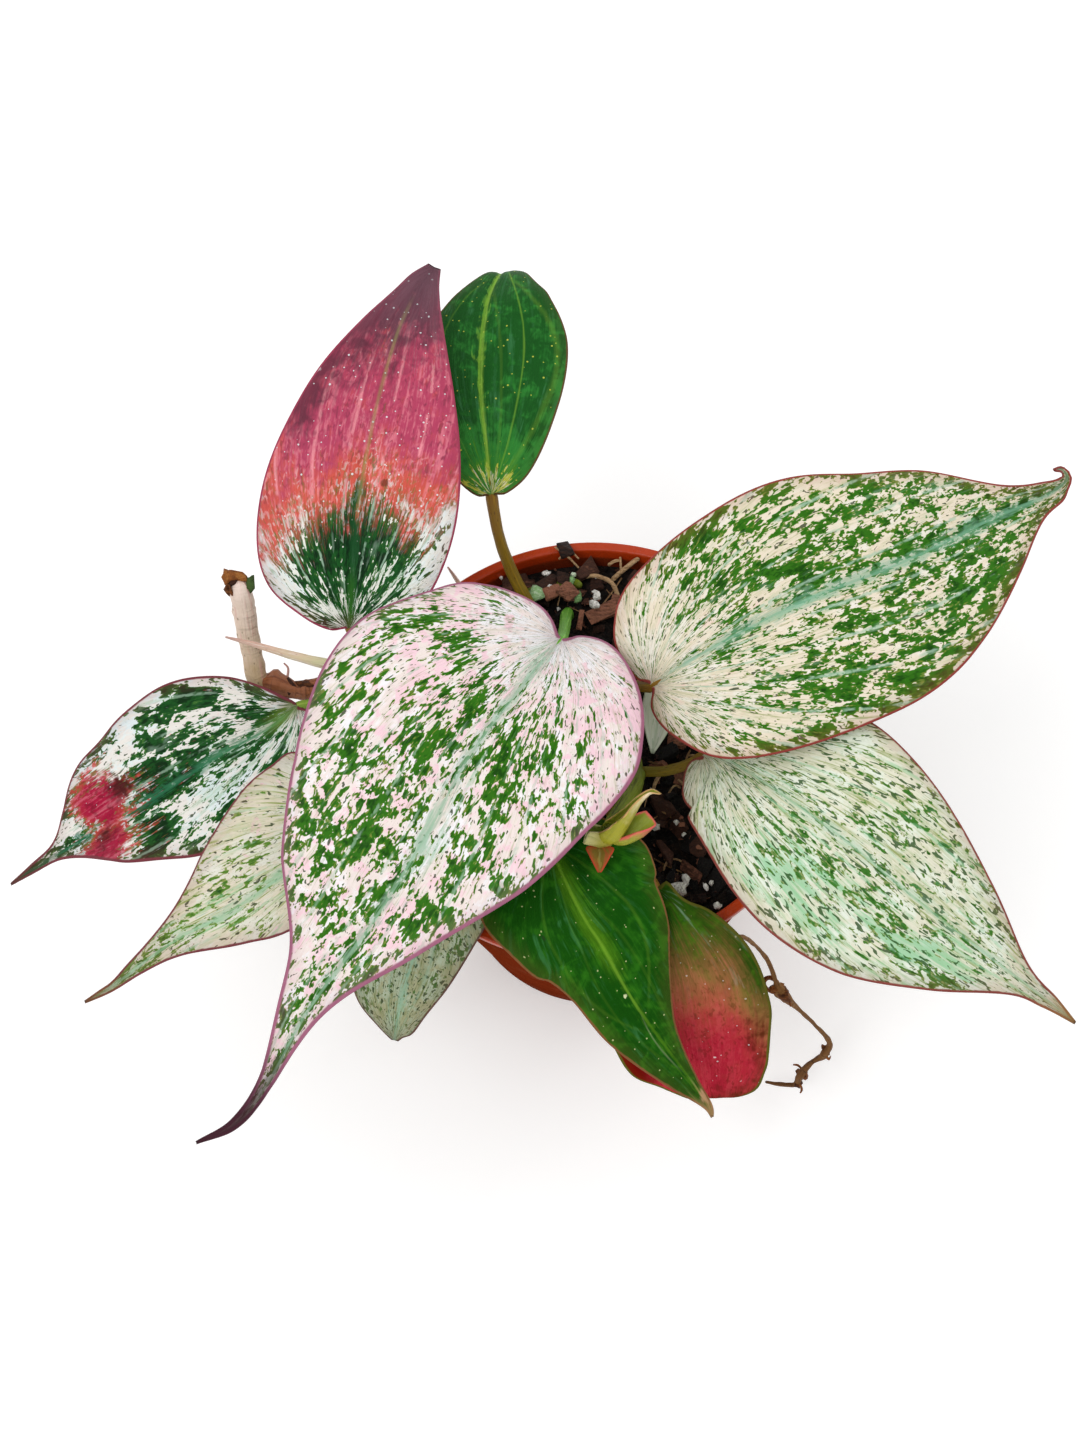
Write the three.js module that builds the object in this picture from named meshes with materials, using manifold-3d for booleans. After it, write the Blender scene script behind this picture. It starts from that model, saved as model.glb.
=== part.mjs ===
// A potted trailing philodendron with marbled heart leaves.
// Millimetres, +Z up. The origin is the centre of the pot's flat underside.
import * as THREE from 'three';
import { mergeVertices } from 'three/addons/utils/BufferGeometryUtils.js';
import Module from 'manifold-3d';

const wasm = await Module();
wasm.setup();

// Driving dimensions of the pot and its filling
const POT_HEIGHT = 86;
const RIM_RADIUS = 50;
const BASE_RADIUS = 34.8;
const WALL = 1.7;
const FLOOR = 2;
const LIP_HEIGHT = 2.6;
const LIP_STEP = 0.6;
const POT_SEGMENTS = 48;
const DRAIN_COUNT = 6;
const DRAIN_RADIUS = 3.5;
const DRAIN_CIRCLE = 23;
const RIM_ROUND = 0.5;
const DRAIN_SIDES = 12;
const SOIL_TOP = 82.4;
const SOIL_RELIEF = 0.9;
const SOIL_RINGS = 5;
const SOIL_SPOKES = 30;
const CHIP_COUNT = 30;
const PERLITE_COUNT = 10;

// Height inside the soil at which the standing stems end
const STEM_FOOT = 66;
const STEM_SIDES = 8;
const ROOT_SIDES = 6;
const TWIG_SIDES = 4;

// Clear gap kept where two pieces touch
const GAP = 0.3;

// Blade section: thickness at the edge, and the rib that the underside adds along the middle
const EDGE_THICKNESS = 0.62;
const RIB_DEPTH = 0.6;
const BLADE_COLUMNS = [0, 0.14, 0.55, 1];
const NOTCH_HALF_WIDTH = 0.9;
const TIP_HALF_WIDTH = 0.35;
const VEIN_LEAD = 1.25;

// How far the ripple of a blade's left edge runs ahead of the right edge's, in radians
const LEFT_RIPPLE_LEAD = 1.7;

// A stalk is slimmer just below its blade
const STALK_NECK = 0.9;

function material(colour, roughness) {
  return new THREE.MeshStandardMaterial({ color: colour, roughness, metalness: 0 });
}

const MATERIAL = {
  terracotta: material('#b4481f', 0.45),
  soil: material('#2a1a12', 0.95),
  bark: material('#5a3a30', 0.9),
  marble: material('#b9c7a4', 0.5),
  red: material('#b8324a', 0.5),
  green: material('#2c6b24', 0.5),
  petiole: material('#8a7a34', 0.5),
  shoot: material('#a9b53c', 0.5),
  woody: material('#a98f74', 0.8),
  root: material('#7a5a3a', 0.85),
};

// The same seed always gives the same soil
let seed = 20417;
function random() {
  seed = (seed * 1664525 + 1013904223) % 4294967296;
  return seed / 4294967296;
}
function between(low, high) {
  return low + (high - low) * random();
}

function vector(point) {
  return new THREE.Vector3(point[0], point[1], point[2]);
}

function closedGeometry(positions, triangles) {
  const geometry = new THREE.BufferGeometry();
  geometry.setAttribute('position', new THREE.Float32BufferAttribute(positions, 3));
  geometry.setIndex(triangles);
  return geometry;
}

// A solid that can be joined and cut, and back to a geometry
function solid(geometry) {
  const bare = geometry.clone();
  bare.deleteAttribute('normal');
  bare.deleteAttribute('uv');
  const merged = mergeVertices(bare, 1e-4);
  const mesh = new wasm.Mesh({
    numProp: 3,
    vertProperties: new Float32Array(merged.attributes.position.array),
    triVerts: new Uint32Array(merged.index.array),
  });
  return new wasm.Manifold(mesh);
}

function geometryOf(manifold) {
  const mesh = manifold.getMesh();
  return closedGeometry(Array.from(mesh.vertProperties), Array.from(mesh.triVerts));
}

// The largest body left by a cut
function largest(manifold) {
  const bodies = manifold.decompose();
  return bodies.reduce((best, body) => (body.volume() > best.volume() ? body : best));
}

function smoothCurve(points) {
  return new THREE.CatmullRomCurve3(points.map(vector), false, 'catmullrom', 0.5);
}

// A round stem through points, with a radius at each of them
function stem(points, radii, sides, steps, grow = 0) {
  const curve = smoothCurve(points);
  const frames = curve.computeFrenetFrames(steps, false);
  const positions = [];
  const triangles = [];
  for (let step = 0; step <= steps; step += 1) {
    const u = step / steps;
    const centre = curve.getPointAt(u);
    const place = curve.getUtoTmapping(u) * (radii.length - 1);
    const index = Math.min(Math.floor(place), radii.length - 2);
    const radius = THREE.MathUtils.lerp(radii[index], radii[index + 1], place - index) + grow;
    const end = step === 0 ? -grow : step === steps ? grow : 0;
    centre.addScaledVector(frames.tangents[step], end);
    for (let side = 0; side < sides; side += 1) {
      const angle = (2 * Math.PI * side) / sides;
      const point = centre.clone();
      point.addScaledVector(frames.normals[step], radius * Math.cos(angle));
      point.addScaledVector(frames.binormals[step], radius * Math.sin(angle));
      positions.push(point.x, point.y, point.z);
    }
  }
  for (let step = 0; step < steps; step += 1) {
    for (let side = 0; side < sides; side += 1) {
      const a = step * sides + side;
      const b = step * sides + ((side + 1) % sides);
      triangles.push(a, b, b + sides, a, b + sides, a + sides);
    }
  }
  const last = steps * sides;
  for (let side = 1; side < sides - 1; side += 1) {
    triangles.push(0, side + 1, side);
    triangles.push(last, last + side, last + side + 1);
  }
  return closedGeometry(positions, triangles);
}

// An outline or rib followed by length, and straight on before its start
function lengthCurve(points) {
  const curve = smoothCurve(points);
  curve.arcLengthDivisions = 400;
  const length = curve.getLength();
  return {
    length,
    point(along) {
      const point = curve.getPointAt(THREE.MathUtils.clamp(along / length, 0, 1));
      if (along < 0) {
        point.addScaledVector(this.tangent(0), along);
      }
      return point;
    },
    tangent(along) {
      const centre = THREE.MathUtils.clamp(along, 1, length - 1);
      const ahead = curve.getPointAt((centre + 1) / length);
      const behind = curve.getPointAt((centre - 1) / length);
      return ahead.sub(behind).normalize();
    },
  };
}

// A point of a blade's middle surface and the way it faces.
// along runs down the midrib from the petiole, across is measured on the blade, right is positive.
function bladeSurface(leaf, rib, along, across) {
  const tangent = rib.tangent(along);
  const share = THREE.MathUtils.clamp(along / rib.length, 0, 1);
  const face = vector(leaf.faceBase).lerp(vector(leaf.faceTip), share).normalize();
  const side = tangent.clone().cross(face).normalize();
  const normal = side.clone().cross(tangent);
  const reach = Math.abs(across);
  const way = Math.sign(across);
  const angle = leaf.fold - leaf.bend * reach;
  const out = (Math.sin(leaf.fold) - Math.sin(angle)) / leaf.bend;
  const phase = leaf.phase + (across > 0 ? 0 : LEFT_RIPPLE_LEAD);
  const ripple = leaf.wave * (reach / leaf.halfWidth) ** 2;
  const rise = (Math.cos(angle) - Math.cos(leaf.fold)) / leaf.bend
    + ripple * Math.sin((2 * Math.PI * along) / leaf.waveLength + phase);
  const point = rib.point(along);
  point.addScaledVector(side, way * out);
  point.addScaledVector(normal, rise);
  const facing = normal.multiplyScalar(Math.cos(angle));
  facing.addScaledVector(side, -way * Math.sin(angle));
  return { point, facing: facing.normalize() };
}

// One side of a blade's outline, from the notch by the petiole to the tip
function outline(leaf, side, length) {
  const points = [[0, NOTCH_HALF_WIDTH], ...side, [length, leaf.tipHalfWidth]];
  return lengthCurve(points.map(([along, across]) => [along, across, 0]));
}

// A closed blade: the same triangles on both faces and a strip round the edge.
// Each row of the grid follows a side vein from the midrib to the outline.
function blade(leaf, grow = 0) {
  const rib = lengthCurve(leaf.midrib);
  const sides = [outline(leaf, leaf.left, rib.length), outline(leaf, leaf.right, rib.length)];
  const columns = BLADE_COLUMNS.length - 1;
  const width = 2 * columns + 1;
  const upper = [];
  const lower = [];
  for (let row = 0; row <= leaf.rows; row += 1) {
    const share = row / leaf.rows;
    const start = rib.length * share ** VEIN_LEAD;
    for (let column = -columns; column <= columns; column += 1) {
      const u = BLADE_COLUMNS[Math.abs(column)];
      const edge = sides[column > 0 ? 1 : 0];
      const goal = edge.point(edge.length * share);
      const along = start + (goal.x - start) * u ** VEIN_LEAD;
      const across = Math.sign(column) * (goal.y + grow) * u;
      const { point, facing } = bladeSurface(leaf, rib, along, across);
      const end = row === 0 ? -grow : row === leaf.rows ? grow : 0;
      point.addScaledVector(rib.tangent(along), end);
      const half = EDGE_THICKNESS / 2 + grow;
      const ridge = leaf.ribDepth * (1 - u) ** 3;
      upper.push(...point.clone().addScaledVector(facing, half).toArray());
      lower.push(...point.clone().addScaledVector(facing, -half - ridge).toArray());
    }
  }
  const triangles = [];
  const under = width * (leaf.rows + 1);
  for (let row = 0; row < leaf.rows; row += 1) {
    for (let column = 0; column < width - 1; column += 1) {
      const a = row * width + column;
      const b = a + 1;
      const c = a + width;
      const d = c + 1;
      triangles.push(a, b, d, a, d, c);
      triangles.push(under + a, under + d, under + b, under + a, under + c, under + d);
    }
  }
  const ring = [];
  for (let column = 0; column < width; column += 1) {
    ring.push(column);
  }
  for (let row = 1; row <= leaf.rows; row += 1) {
    ring.push(row * width + width - 1);
  }
  for (let column = width - 2; column >= 0; column -= 1) {
    ring.push(leaf.rows * width + column);
  }
  for (let row = leaf.rows - 1; row > 0; row -= 1) {
    ring.push(row * width);
  }
  ring.forEach((a, place) => {
    const b = ring[(place + 1) % ring.length];
    triangles.push(a, under + b, b, a, under + a, under + b);
  });
  return closedGeometry([...upper, ...lower], triangles);
}

// The leaves. Each outline side is a list of [distance along the midrib, distance out].
// The blade lifts by fold beside the midrib and curls down by bend for each millimetre out.
const LEAVES = {
  leaf_centre: {
    midrib: [
      [-4, 9.5, 116], [-13.5, -3.5, 121], [-24.5, -16.5, 121], [-34.5, -30.5, 117],
      [-47, -45, 110], [-61, -57.5, 101], [-71, -68.5, 92], [-79, -75, 86], [-88, -77, 82],
    ],
    faceBase: [0, -0.1, 1],
    faceTip: [-0.2, -0.3, 1],
    fold: 0.28,
    bend: 0.016,
    wave: 0.8,
    waveLength: 46,
    halfWidth: 34,
    phase: 0,
    left: [
      [-3, 3.6], [-3, 10.5], [2.5, 18.5], [13.5, 26.5], [23, 29.5], [44.5, 26],
      [69.5, 12.5], [86, 5], [102.5, 1.8], [119.5, 1.1],
    ],
    right: [
      [-3, 4.5], [-4, 9.5], [-1.5, 19], [5, 27], [26.5, 36.5], [43.5, 33.5],
      [71, 23], [88, 9], [108.5, 2.6], [122.5, 1.4],
    ],
    rows: 20,
    material: MATERIAL.marble,
  },
  leaf_right_upper: {
    midrib: [
      [13, -1.5, 112], [23.5, 2, 117], [44.5, 9, 121], [66, 15.5, 121], [89.5, 27, 116],
      [102, 33.5, 111], [108, 38.5, 108], [107.5, 40.5, 109], [104.5, 39, 112],
    ],
    faceBase: [0, -0.2, 1],
    faceTip: [0.2, -0.2, 1],
    fold: 0.2,
    bend: 0.014,
    wave: 0.9,
    waveLength: 42,
    halfWidth: 27,
    phase: 1,
    left: [
      [-2, 3.7], [-1, 13], [8, 21], [25, 25], [44, 25], [70.5, 16.5], [87.5, 6], [100, 3],
      [106, 1.6],
    ],
    right: [
      [-2.5, 4.7], [-1, 12], [6, 21.5], [23, 27], [46.5, 28], [64.5, 21.5], [80.5, 12.5],
      [94, 4.7], [102, 2.9], [106.5, 1.5],
    ],
    rows: 18,
    material: MATERIAL.marble,
  },
  leaf_right_lower: {
    midrib: [
      [22.5, -13, 101], [27.5, -16, 103], [39.5, -29.5, 107], [48, -38, 106], [57, -46.5, 102],
      [66, -54, 97], [76, -61, 90], [86.5, -68, 82], [91.5, -71.5, 78],
    ],
    faceBase: [0, -0.2, 1],
    faceTip: [0.2, -0.4, 1],
    fold: 0.2,
    bend: 0.015,
    wave: 0.8,
    waveLength: 38,
    halfWidth: 22,
    phase: 2,
    left: [
      [-2.5, 2], [-3, 6.5], [6, 16], [17, 21.5], [30.5, 22.5], [46.5, 19.5], [65, 12],
      [82, 3.6], [92, 1.7],
    ],
    right: [
      [-2.5, 1.8], [-3, 6], [-0.2, 12], [14, 17.9], [32.5, 24], [49.5, 21.7], [65.5, 13.3],
      [81.5, 4.1], [90, 1.9],
    ],
    rows: 18,
    material: MATERIAL.marble,
  },
  leaf_back_red: {
    midrib: [
      [-49, 25.5, 101], [-46.5, 37.5, 109], [-43.5, 48, 116], [-40, 59.5, 121],
      [-36.5, 70, 124], [-31.5, 84, 126], [-26.5, 94.5, 126], [-22.5, 101, 125],
    ],
    faceBase: [0, -0.3, 1],
    faceTip: [0, -0.2, 1],
    fold: 0.16,
    bend: 0.014,
    wave: 0.6,
    waveLength: 34,
    halfWidth: 21,
    phase: 0,
    left: [
      [-0.5, 4.4], [2, 10.2], [8.5, 18.2], [19, 21.6], [35, 20], [54, 14.4], [73, 5.8],
      [82, 3.1],
    ],
    right: [
      [-0.5, 4.4], [3, 12], [11, 18.4], [26.5, 21.4], [44, 19.3], [66, 11.2], [77.5, 5.8],
    ],
    rows: 16,
    tipHalfWidth: 1.6,
    material: MATERIAL.red,
  },
  leaf_back_green: {
    midrib: [
      [-15.5, 53.5, 104], [-15.5, 64, 110], [-15.5, 74.5, 114], [-14.5, 85, 115],
      [-12.5, 96.5, 114], [-10.5, 104, 112], [-8, 111.5, 108], [-7.5, 116, 99],
    ],
    faceBase: [0, -0.2, 1],
    faceTip: [0, 0.6, 1],
    fold: 0.16,
    bend: 0.02,
    wave: 0.5,
    waveLength: 30,
    halfWidth: 20,
    phase: 0,
    left: [
      [0, 3], [2.5, 6], [10, 12], [21, 15.5], [34, 14.8], [46.5, 9.6], [53, 6.6], [60, 3.6],
      [67, 1.8],
    ],
    right: [
      [0, 3.5], [3.5, 8.6], [11, 13.7], [22, 18.5], [36.5, 19.7], [51, 14.5], [59, 8.5],
      [65, 4], [70, 1.5],
    ],
    rows: 16,
    material: MATERIAL.green,
  },
  leaf_left_pink: {
    midrib: [
      [-62, 12, 94], [-68.5, 8, 93], [-81, 3, 91], [-96.5, -2.5, 85], [-107, -4.5, 79],
      [-116.5, -6, 73], [-125, -7, 67], [-135, -8.5, 60],
    ],
    faceBase: [0, -0.2, 1],
    faceTip: [-0.5, -0.2, 1],
    fold: 0.34,
    bend: 0.018,
    wave: 0.9,
    waveLength: 30,
    halfWidth: 19,
    phase: 1,
    left: [
      [-1, 3], [0, 9], [8, 17], [20, 20.5], [31.5, 18.7], [41, 14], [49, 10.4], [59.5, 4.6],
      [68, 1.6], [77, 0.9],
    ],
    right: [
      [0.7, 2.6], [5.5, 10.8], [20, 19.4], [32, 19.6], [51, 16.5], [61.5, 7.8], [68.5, 3],
      [77, 1.5],
    ],
    rows: 16,
    material: MATERIAL.marble,
  },
  leaf_left_pale: {
    midrib: [
      [-49, -19.5, 100], [-66, -28, 97], [-78, -32.5, 92], [-90, -35, 86], [-100, -37.5, 79],
      [-107.5, -40, 74], [-114.5, -41.5, 70],
    ],
    faceBase: [-0.1, -0.2, 1],
    faceTip: [-0.3, -0.3, 1],
    fold: 0.4,
    bend: 0.02,
    wave: 0.5,
    waveLength: 30,
    halfWidth: 18,
    phase: 0,
    left: [
      [-2, 3.5], [-1.5, 6.5], [3, 10], [12, 12.5], [23.5, 11.6], [31, 8.8], [40, 5.8],
      [50.5, 3.3], [60.5, 2], [71.5, 0.9],
    ],
    right: [
      [-3, 5], [-4, 12], [3, 20], [8.5, 20.4], [17, 19.5], [31, 13.7], [47, 5], [65, 1.4],
      [72, 0.8],
    ],
    rows: 16,
    material: MATERIAL.marble,
  },
  leaf_front_hanging: {
    midrib: [
      [-33, -29, 99], [-37.5, -37.5, 92.5], [-43, -43.5, 77], [-47.5, -48.5, 63.5],
      [-50, -53, 54],
    ],
    faceBase: [0, -0.6, 1],
    faceTip: [-0.3, -1, 0.6],
    fold: 0.12,
    bend: 0.016,
    wave: 0.3,
    waveLength: 30,
    halfWidth: 14,
    phase: 0,
    left: [
      [-2, 4], [-1, 9], [7.5, 12.4], [18, 11.4], [34.5, 8.5], [50, 4.5], [53.5, 1.8],
    ],
    right: [
      [-2, 4], [-1, 8], [8, 12.5], [22, 14], [34, 13], [44, 10], [51, 4.7],
    ],
    rows: 12,
    tipHalfWidth: 0.8,
    material: MATERIAL.marble,
  },
  leaf_front_green: {
    midrib: [
      [-11.5, -28.5, 102], [-6.5, -43.5, 100], [-3, -49.5, 96], [1, -57.5, 90],
      [5, -63.5, 83.5], [10.5, -70.5, 75], [15, -76.5, 68], [16.5, -79.5, 64],
    ],
    faceBase: [0, -0.2, 1],
    faceTip: [0.3, -0.5, 1],
    fold: 0.16,
    bend: 0.018,
    wave: 0.8,
    waveLength: 26,
    halfWidth: 18,
    phase: 2,
    left: [
      [-2, 4], [-1.5, 10], [6.5, 17.2], [14, 17.7], [27, 14.5], [32.5, 12], [48.5, 4.5],
      [61.5, 1.6], [70, 1],
    ],
    right: [
      [-2, 4], [-2.5, 10], [3, 17], [11, 18.6], [19, 15.5], [30.5, 10.8], [42.5, 9],
      [57, 5.2], [69, 1],
    ],
    rows: 16,
    material: MATERIAL.green,
  },
  leaf_front_red: {
    midrib: [
      [9.5, -38, 93.5], [9.5, -46.5, 91.5], [10.5, -55, 80], [11.5, -62.5, 68],
      [13.5, -69, 57], [15, -72, 51], [15.5, -69.5, 45], [15.5, -67.5, 42],
    ],
    faceBase: [0, -0.4, 1],
    faceTip: [-0.15, -1, 0.5],
    fold: 0.1,
    bend: 0.01,
    wave: 0.3,
    waveLength: 26,
    halfWidth: 18,
    phase: 0,
    left: [
      [-1, 2.5], [3, 5.6], [6, 10.5], [11.5, 14.7], [18.5, 18], [27, 19.8], [38, 20],
      [54, 15.5], [58.5, 9.4], [60.5, 4], [64, 1.6],
    ],
    right: [
      [-1, 3], [1, 8], [8, 13], [18, 15.5], [28, 15.5], [37.5, 14], [47, 11.9], [52.5, 6.4],
      [56.5, 2.8], [62, 1.4],
    ],
    rows: 18,
    material: MATERIAL.red,
  },
  leaf_small_pale: {
    midrib: [[15.5, 5.5, 101], [15.2, 0.4, 102], [14, -4.8, 101], [12.3, -10.3, 98]],
    faceBase: [0, -0.2, 1],
    faceTip: [0, -0.3, 1],
    fold: 0.3,
    bend: 0.05,
    wave: 0,
    waveLength: 10,
    halfWidth: 4,
    phase: 0,
    left: [[2, 2.6], [7, 3.6], [12, 2.6]],
    right: [[2, 2.6], [7, 3.6], [12, 2.6]],
    rows: 6,
    ribDepth: 0.3,
    material: MATERIAL.marble,
  },
  bud_leaf_pointed: {
    midrib: [[-1.1, -32.8, 106.8], [-1.4, -35, 106.6], [-1.8, -37.8, 105.2]],
    faceBase: [0, -0.3, 1],
    faceTip: [0, -0.5, 1],
    fold: 0.35,
    bend: 0.08,
    wave: 0,
    waveLength: 10,
    halfWidth: 3,
    phase: 0,
    left: [[0.6, 2.9], [2.7, 1.9]],
    right: [[0.6, 2.9], [2.7, 1.9]],
    rows: 5,
    ribDepth: 0.2,
    fitted: ['vine_front', 'bud_sheath', 'bud_leaf_rolled'],
    material: MATERIAL.shoot,
  },
};

Object.values(LEAVES).forEach((leaf) => {
  leaf.tipHalfWidth ??= TIP_HALF_WIDTH;
  leaf.ribDepth ??= RIB_DEPTH;
});

// Woody and green stems that carry the leaves, and the bud at the growing tip
const STEMS = {
  vine_old: {
    points: [
      [-71.4, 19.6, 91.2], [-67.4, 19.3, 91], [-63, 17.5, 90.6], [-58, 17.3, 90.2],
      [-50, 17.9, 90.2], [-43, 19.2, 89.4], [-37.8, 20.4, 85.6], [-36.4, 21.2, 80],
      [-33.6, 20, STEM_FOOT],
    ],
    radii: [2, 2.6, 2.1, 2.4, 2.4, 2.2, 2.1, 2.1, 2],
    steps: 18,
    material: MATERIAL.woody,
  },
  vine_front: {
    points: [
      [0.5, 16.5, STEM_FOOT], [0.8, 15, 81], [4, 6, 86.5], [7, -1, 90], [8.5, -13.2, 96],
      [6.3, -20.7, 102], [2.3, -27.5, 106.5], [0.6, -30, 107.4],
    ],
    radii: [1.7, 1.7, 1.7, 2.1, 1.7, 1.9, 1.5, 1.5],
    steps: 18,
    material: MATERIAL.shoot,
  },
  vine_back: {
    points: [
      [-18, 30, 76], [-15, 33.4, 82], [-10.5, 37.6, 84], [-5, 39.6, 84], [0.4, 40, 84.4],
      [2.4, 38.6, 85.8],
    ],
    radii: [1.8, 1.8, 1.9, 1.6, 1.4, 0.6],
    steps: 10,
    material: MATERIAL.shoot,
  },
  stem_cut: {
    points: [
      [-70.8, 18.8, 89.9], [-71, 23.2, 96], [-70.8, 27.6, 103], [-70.4, 31.6, 110],
      [-70.5, 33.9, 113],
    ],
    radii: [2.2, 2.2, 2.3, 2.4, 2.5],
    steps: 8,
    fitted: ['vine_old'],
    material: MATERIAL.woody,
  },
  shoot_left: {
    points: [
      [-43.6, 19.2, 89.4], [-45, 16.8, 95], [-47.6, 15.4, 101], [-54.4, 15.2, 106],
      [-61, 17, 108], [-69, 19.7, 110], [-73.7, 20.7, 112],
    ],
    radii: [1.2, 1.1, 1.1, 1.15, 0.9, 0.55, 0.2],
    steps: 16,
    fitted: ['vine_old'],
    material: MATERIAL.marble,
  },
  sprout_back: {
    points: [
      [-20.6, 30, STEM_FOOT], [-21.6, 33, 81], [-23.6, 38, 86.8], [-25.6, 42, 88.6],
      [-27.3, 44.9, 89.8],
    ],
    radii: [0.8, 0.8, 0.65, 0.5, 0.2],
    steps: 6,
    material: MATERIAL.woody,
  },
  bud_sheath: {
    points: [
      [0.2, -30.6, 107.8], [1.5, -31, 110], [4.6, -28.9, 112.6], [7.9, -27.4, 115.5],
      [11.2, -27.4, 117.5],
    ],
    radii: [1.5, 2.5, 1.8, 0.9, 0.2],
    steps: 9,
    fitted: ['vine_front'],
    material: MATERIAL.shoot,
  },
  bud_leaf_rolled: {
    points: [[0.8, -32.2, 106.6], [3.2, -32.6, 108.8], [6.4, -31.7, 110.6], [9.8, -29.9, 112]],
    radii: [0.9, 1.9, 2.2, 1.7],
    steps: 6,
    fitted: ['vine_front', 'bud_sheath'],
    material: MATERIAL.shoot,
  },
};

// Leaf stalks, from the blade down to a stem or into the soil
const PETIOLES = {
  leaf_centre: {
    points: [
      [-3.6, 12.6, 111], [-2.6, 22, 98.5], [-1.8, 30, 88.5], [-1.2, 33, 82],
      [-1, 33.6, STEM_FOOT],
    ],
    radius: 1.25,
    material: MATERIAL.shoot,
  },
  leaf_right_upper: {
    points: [
      [10.6, 1.6, 106.5], [9, 6, 98], [9.4, 10, 88], [10, 12, 81],
      [10.2, 12.4, STEM_FOOT],
    ],
    radius: 1.3,
    material: MATERIAL.petiole,
  },
  leaf_right_lower: {
    points: [[20, -13.4, 98.4], [17, -14, 97.6], [13.5, -14.1, 97], [8.9, -13, 95.8]],
    radius: 1.1,
    fitted: ['vine_front'],
    material: MATERIAL.petiole,
  },
  leaf_back_red: {
    points: [
      [-45.5, 21, 98.4], [-39, 16.6, 93], [-34, 15.6, 86.5], [-32, 15.8, 81],
      [-31.6, 16, STEM_FOOT],
    ],
    radius: 1.2,
    material: MATERIAL.petiole,
  },
  leaf_back_green: {
    points: [
      [-14.9, 46.4, 98.4], [-12.7, 40, 91.4], [-9.6, 34.4, 86], [-8, 31.6, 81],
      [-7.6, 31, STEM_FOOT],
    ],
    radius: 1.4,
    material: MATERIAL.petiole,
  },
  leaf_left_pink: {
    points: [[-56, 12.6, 92.8], [-50.5, 14.6, 91.4], [-47.4, 18.6, 90]],
    radius: 1.2,
    fitted: ['vine_old'],
    material: MATERIAL.shoot,
  },
  leaf_left_pale: {
    points: [
      [-43, -13, 98], [-35, -2.6, 92.5], [-31.5, 4, 86], [-30.6, 6.4, 81],
      [-30.2, 7, STEM_FOOT],
    ],
    radius: 1.2,
    material: MATERIAL.petiole,
  },
  leaf_front_hanging: {
    points: [
      [-29, -19, 96], [-24.5, -8.6, 90], [-22.2, -3, 82], [-21.5, -1.6, STEM_FOOT],
    ],
    radius: 1.1,
    material: MATERIAL.petiole,
  },
  leaf_front_green: {
    points: [[-9.4, -18, 97], [-3.4, -7.6, 92], [6.4, -1, 90.4]],
    radius: 1.2,
    fitted: ['vine_front'],
    material: MATERIAL.petiole,
  },
  leaf_front_red: {
    points: [
      [5.6, -29.4, 92], [2.8, -20, 89], [2.2, -14.6, 82], [2.2, -13, STEM_FOOT],
    ],
    radius: 1.2,
    material: MATERIAL.petiole,
  },
  leaf_small_pale: {
    points: [[15.8, 9, 96], [16.4, 13, 87], [16.6, 14, 81], [16.6, 14, STEM_FOOT]],
    radius: 0.8,
    material: MATERIAL.shoot,
  },
};

// Thin roots in the air
const ROOTS = {
  root_aerial_long: {
    points: [
      [16, -36.6, 72], [15.8, -38.2, 82], [16.4, -42, 86.6], [17.4, -45.4, 87.6],
      [18.8, -48.2, 87.2], [21, -49.4, 84.5], [24, -47.6, 79.5], [27, -44, 73.5],
      [31, -43.4, 64], [34.2, -44.9, 56], [36, -48.2, 50], [36.8, -49.7, 47.4],
      [41, -52, 40], [45.5, -54.3, 32], [49.3, -56.7, 24], [48.2, -58.6, 20],
      [45.4, -59.4, 17], [42.9, -61, 13], [41.6, -62.4, 9], [38.4, -61.6, 7], [34.9, -60.2, 5],
    ],
    radii: [
      0.5, 0.5, 0.5, 0.5, 0.45, 0.45, 0.45, 0.45, 0.45, 0.5, 0.6, 1.6, 0.5, 0.45, 0.6, 0.9,
      0.5, 1.1, 0.6, 0.5, 0.35,
    ],
    steps: 40,
  },
  root_aerial_fine: {
    points: [[-65.3, 24.8, 90], [-64.3, 23, 90.6], [-64.6, 20, 91]],
    radii: [0.3, 0.32, 0.35],
    steps: 5,
    fitted: ['vine_old'],
  },
};

// Pot

function innerRadius(height) {
  const slope = (RIM_RADIUS - LIP_STEP - BASE_RADIUS) / POT_HEIGHT;
  return BASE_RADIUS + slope * height - WALL;
}

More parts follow.
